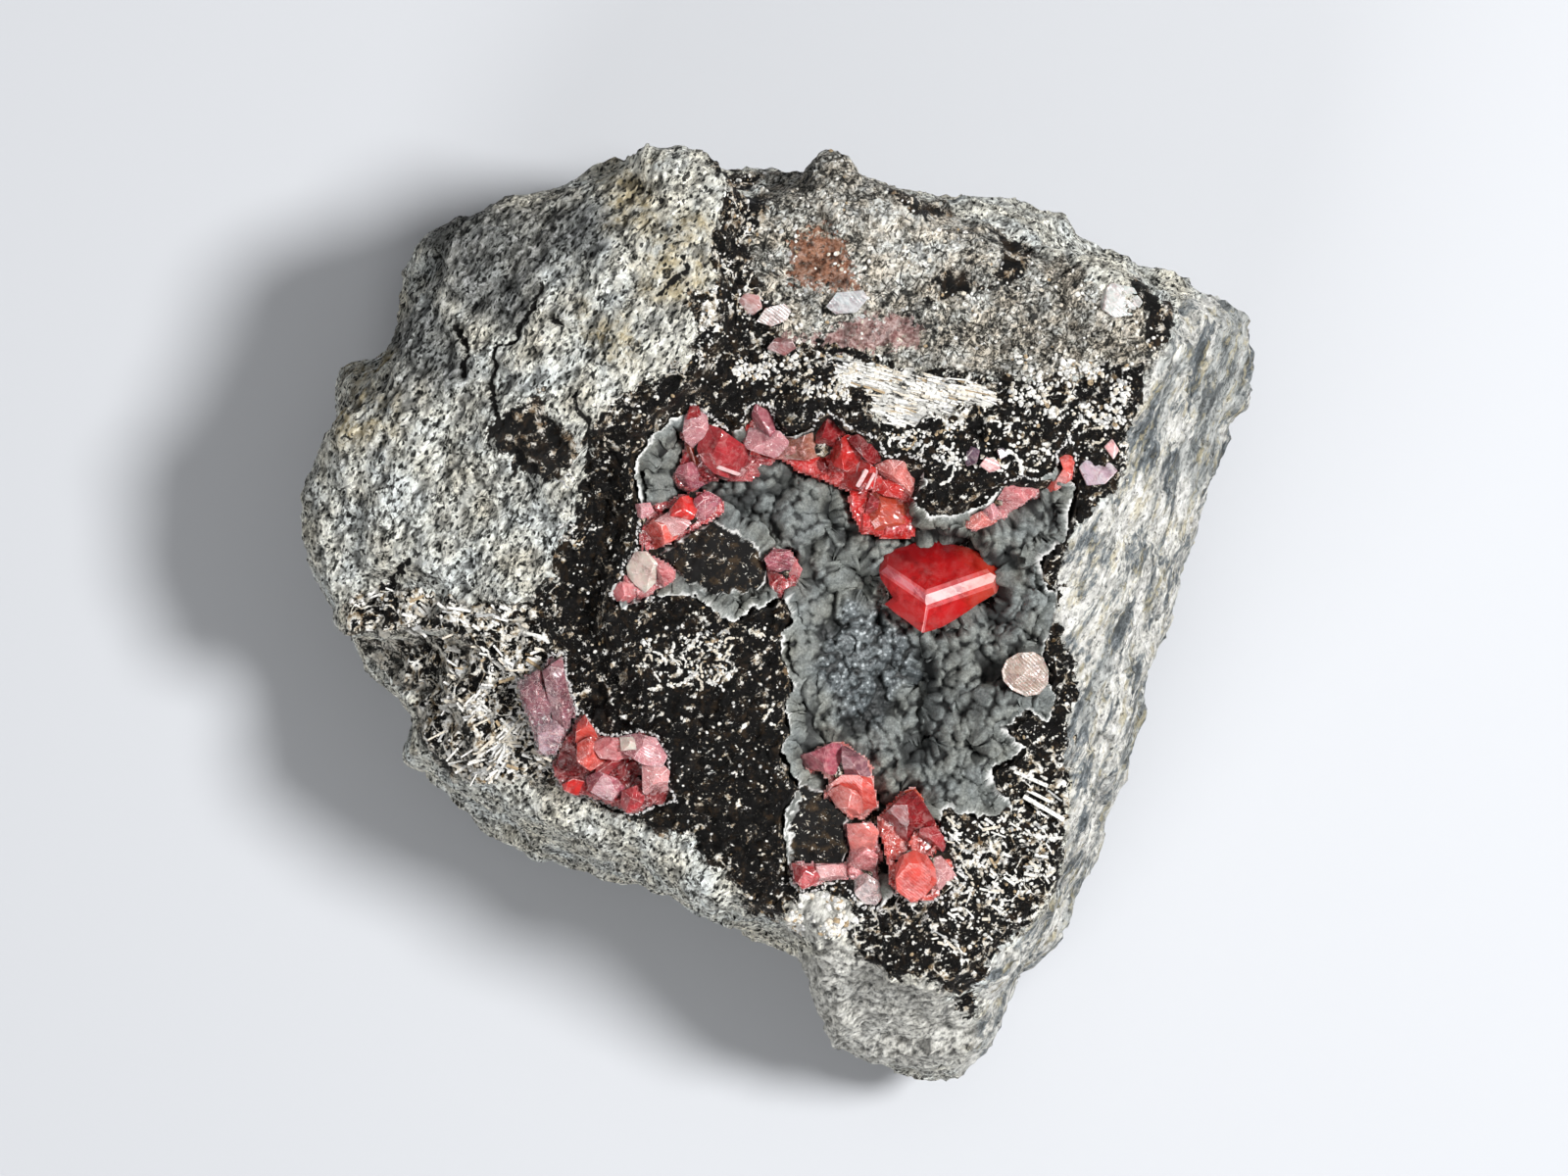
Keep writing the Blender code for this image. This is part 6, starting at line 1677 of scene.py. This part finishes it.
def buildBits(material, trees):
    rng = np.random.default_rng(19)
    parts, shades = [], []

    def place(kind, x, y, sizes, turn, lean, tone, sink=0.25):
        top = topAt(trees, x, y)
        if top < lowestBit:
            return
        turned = Matrix.Rotation(math.radians(turn), 4, "Z") @ Matrix.Rotation(math.radians(lean), 4, "Y")
        spot = Matrix.Translation((x * mm, y * mm, (top + sink * sizes[2]) * mm))
        parts.append((kind, spot @ turned @ Matrix.Diagonal((*(s * mm for s in sizes), 1))))
        shades.extend([tone] * (8 if kind == "lath" else 12))

    def walk(x, y, length, size, turn, tone):
        # a wandering, broken line of overlapping beads
        bend = rng.uniform(-12, 12)
        for step in range(max(3, int(length / (1.3 * size)))):
            wide = size * rng.uniform(0.45, 1.25)
            if rng.random() > 0.12:
                place("grain", x + rng.uniform(-0.1, 0.1), y + rng.uniform(-0.1, 0.1),
                      (1.2 * size, wide, 0.7 * size), turn, rng.uniform(-20, 20), tone)
            turn += bend + rng.uniform(-38, 38)
            x += 1.3 * size * math.cos(math.radians(turn))
            y += 1.3 * size * math.sin(math.radians(turn))

    for zone, kind, count, small, large, thick, turn, spread in looseBits:
        corners = np.array(zones[zone])
        spots = rng.uniform(corners.min(axis=0), corners.max(axis=0), (count * 6, 2))
        flat = np.column_stack([spots, np.zeros(len(spots))])
        clump = grain(flat, 2.6, 8.0) + 0.25 * rng.standard_normal(len(spots))
        kept = (insideDistance(spots, zones[zone]) > 0.2) & (insideDistance(spots, rim) < -0.4)
        order = np.argsort(-clump * kept)[:count] if kind != "curl" else np.nonzero(kept)[0][:count]
        for i in order[kept[order]]:
            x, y = spots[i]
            tone = bitTones[rng.choice(len(bitTones), p=bitShares)]
            size = small + (large - small) * rng.random() ** 1.8
            way = turn + rng.uniform(-spread, spread)
            if kind == "curl":
                walk(x, y, size * 1.4, thick, way, tone)
            elif kind == "lath":
                place(kind, x, y, (size, thick * rng.uniform(0.9, 2.0), thick * 1.4), way,
                      rng.uniform(-7, 7), tone)
            else:
                place(kind, x, y, (size, size * rng.uniform(0.5, 0.9), size * 0.6), way,
                      rng.uniform(-25, 25), tone)
    for x, y, length, width, turn in longLaths:
        place("lath", x, y, (length, width, 0.5), turn, rng.uniform(-3, 3), bitTones[0])
    for x, y, length, size, turn in longCurls:
        walk(x, y, length, size, turn, bitTones[0])
    midX, midY, radius, count = curlRing
    for number in range(count):
        walk(midX + radius * math.cos(number * 0.45), midY + radius * math.sin(number * 0.45),
             0.6, 0.17, number * 26 + 90, bitTones[1])

    # the pale line where the crystals meet the dark ground
    for group in crystals.values():
        outline = group["bed"][0]
        for (x0, y0), (x1, y1) in zip(outline, outline[1:] + outline[:1]):
            steps = int(math.hypot(x1 - x0, y1 - y0) / 0.24) + 1
            for step in range(steps):
                x = x0 + (x1 - x0) * step / steps + rng.uniform(-0.14, 0.14)
                y = y0 + (y1 - y0) * step / steps + rng.uniform(-0.14, 0.14)
                if insideDistance(np.array([[x, y]]), rim)[0] > -0.15 or rng.random() < 0.15:
                    continue
                size = rng.uniform(0.10, 0.20)
                place("grain", x, y, (1.5 * size, size, size), rng.uniform(0, 180), 0,
                      (0.60, 0.59, 0.58), 0.1)
    piece = newPiece("pale_bits", joined(parts), [material], smooth=False)
    tone = np.array(shades) * rng.uniform(0.8, 1.1, (len(shades), 1))
    setColours(piece.data, "tone", *tone.T)
    finished(piece, "pale_rock", "matrix")


def bitsMaterial():
    material, tree, shader, place = newMaterial("pale mineral bits")
    tone = addNode(tree, "Attribute", attribute_name="tone").outputs["Color"]
    fine = noiseNode(tree, place, 2.6, 5, 0.75)
    grey = rampNode(tree, fine, [(0.36, 0.28), (0.46, 0.82), (0.6, 1.0)])
    setInputs(tree, shader, {
        "Base Color": tinted(tree, tone, grey), "Roughness": 0.7, "Specular IOR Level": 0.3,
        "Normal": bumpNode(tree, fine, 0.8, 0.25)})
    return material


# The camera, straight above: lens and sensor (mm), place (m)
cameraSettings = {"lens": 149.1, "sensor": 36, "place": (0.0002, 0.0023, 0.795)}


def placeCamera():
    data = bpy.data.cameras.new("camera")
    data.lens = cameraSettings["lens"]
    data.sensor_width = cameraSettings["sensor"]
    camera = bpy.data.objects.new("camera", data)
    camera.location = cameraSettings["place"]
    bpy.context.scene.collection.objects.link(camera)
    bpy.context.scene.camera = camera


# Studio light: direction from the part (degrees), distance and size (m), power (W); the
# lamps face a point a little above the base, and an even light comes from all round
lights = {
    "key": {"around": 10, "up": 55, "far": 0.85, "size": 0.22, "power": 12.6},
    "soft": {"around": 70, "up": 72, "far": 0.9, "size": 0.8, "power": 1.6},
    "fill": {"around": -118, "up": 28, "far": 0.9, "size": 0.5, "power": 5.0},
}
lightsFace = (0, 0, 0.04)
evenLight = {"Color": (0.95, 0.97, 1.0, 1), "Strength": 0.17}


def placeLights():
    for name, light in lights.items():
        data = bpy.data.lights.new(name, "AREA")
        data.shape = "DISK"
        data.size = light["size"]
        data.energy = light["power"]
        lamp = bpy.data.objects.new(name, data)
        around, up = math.radians(light["around"]), math.radians(light["up"])
        way = Vector((math.cos(around) * math.cos(up), math.sin(around) * math.cos(up),
                      math.sin(up)))
        lamp.location = Vector(lightsFace) + way * light["far"]
        lamp.rotation_euler = way.to_track_quat("Z", "Y").to_euler()
        bpy.context.scene.collection.objects.link(lamp)
    world = bpy.data.worlds.new("studio")
    world.use_nodes = True
    setInputs(world.node_tree, world.node_tree.nodes["Background"], evenLight)
    bpy.context.scene.world = world
    bpy.context.scene.view_settings.view_transform = "Standard"


def buildFloor():
    bm = bmesh.new()
    bmesh.ops.create_grid(bm, x_segments=1, y_segments=1, size=3.0)
    material, tree, shader = newMaterial("pale floor")[:3]
    setInputs(tree, shader, {"Base Color": (0.42, 0.43, 0.45, 1), "Roughness": 0.8})
    newPiece("floor", bm, [material])


placeCamera()
placeLights()
buildFloor()
rockPiece = buildRock(rockMaterial())
groundPiece = buildGround(groundMaterial(), rockPiece)
buildCrust(crustMaterial(), rockPiece)
buildCrystals()
tops = [treeOf(rockPiece), treeOf(groundPiece)]
buildChips(tops)
buildBits(bitsMaterial(), tops)
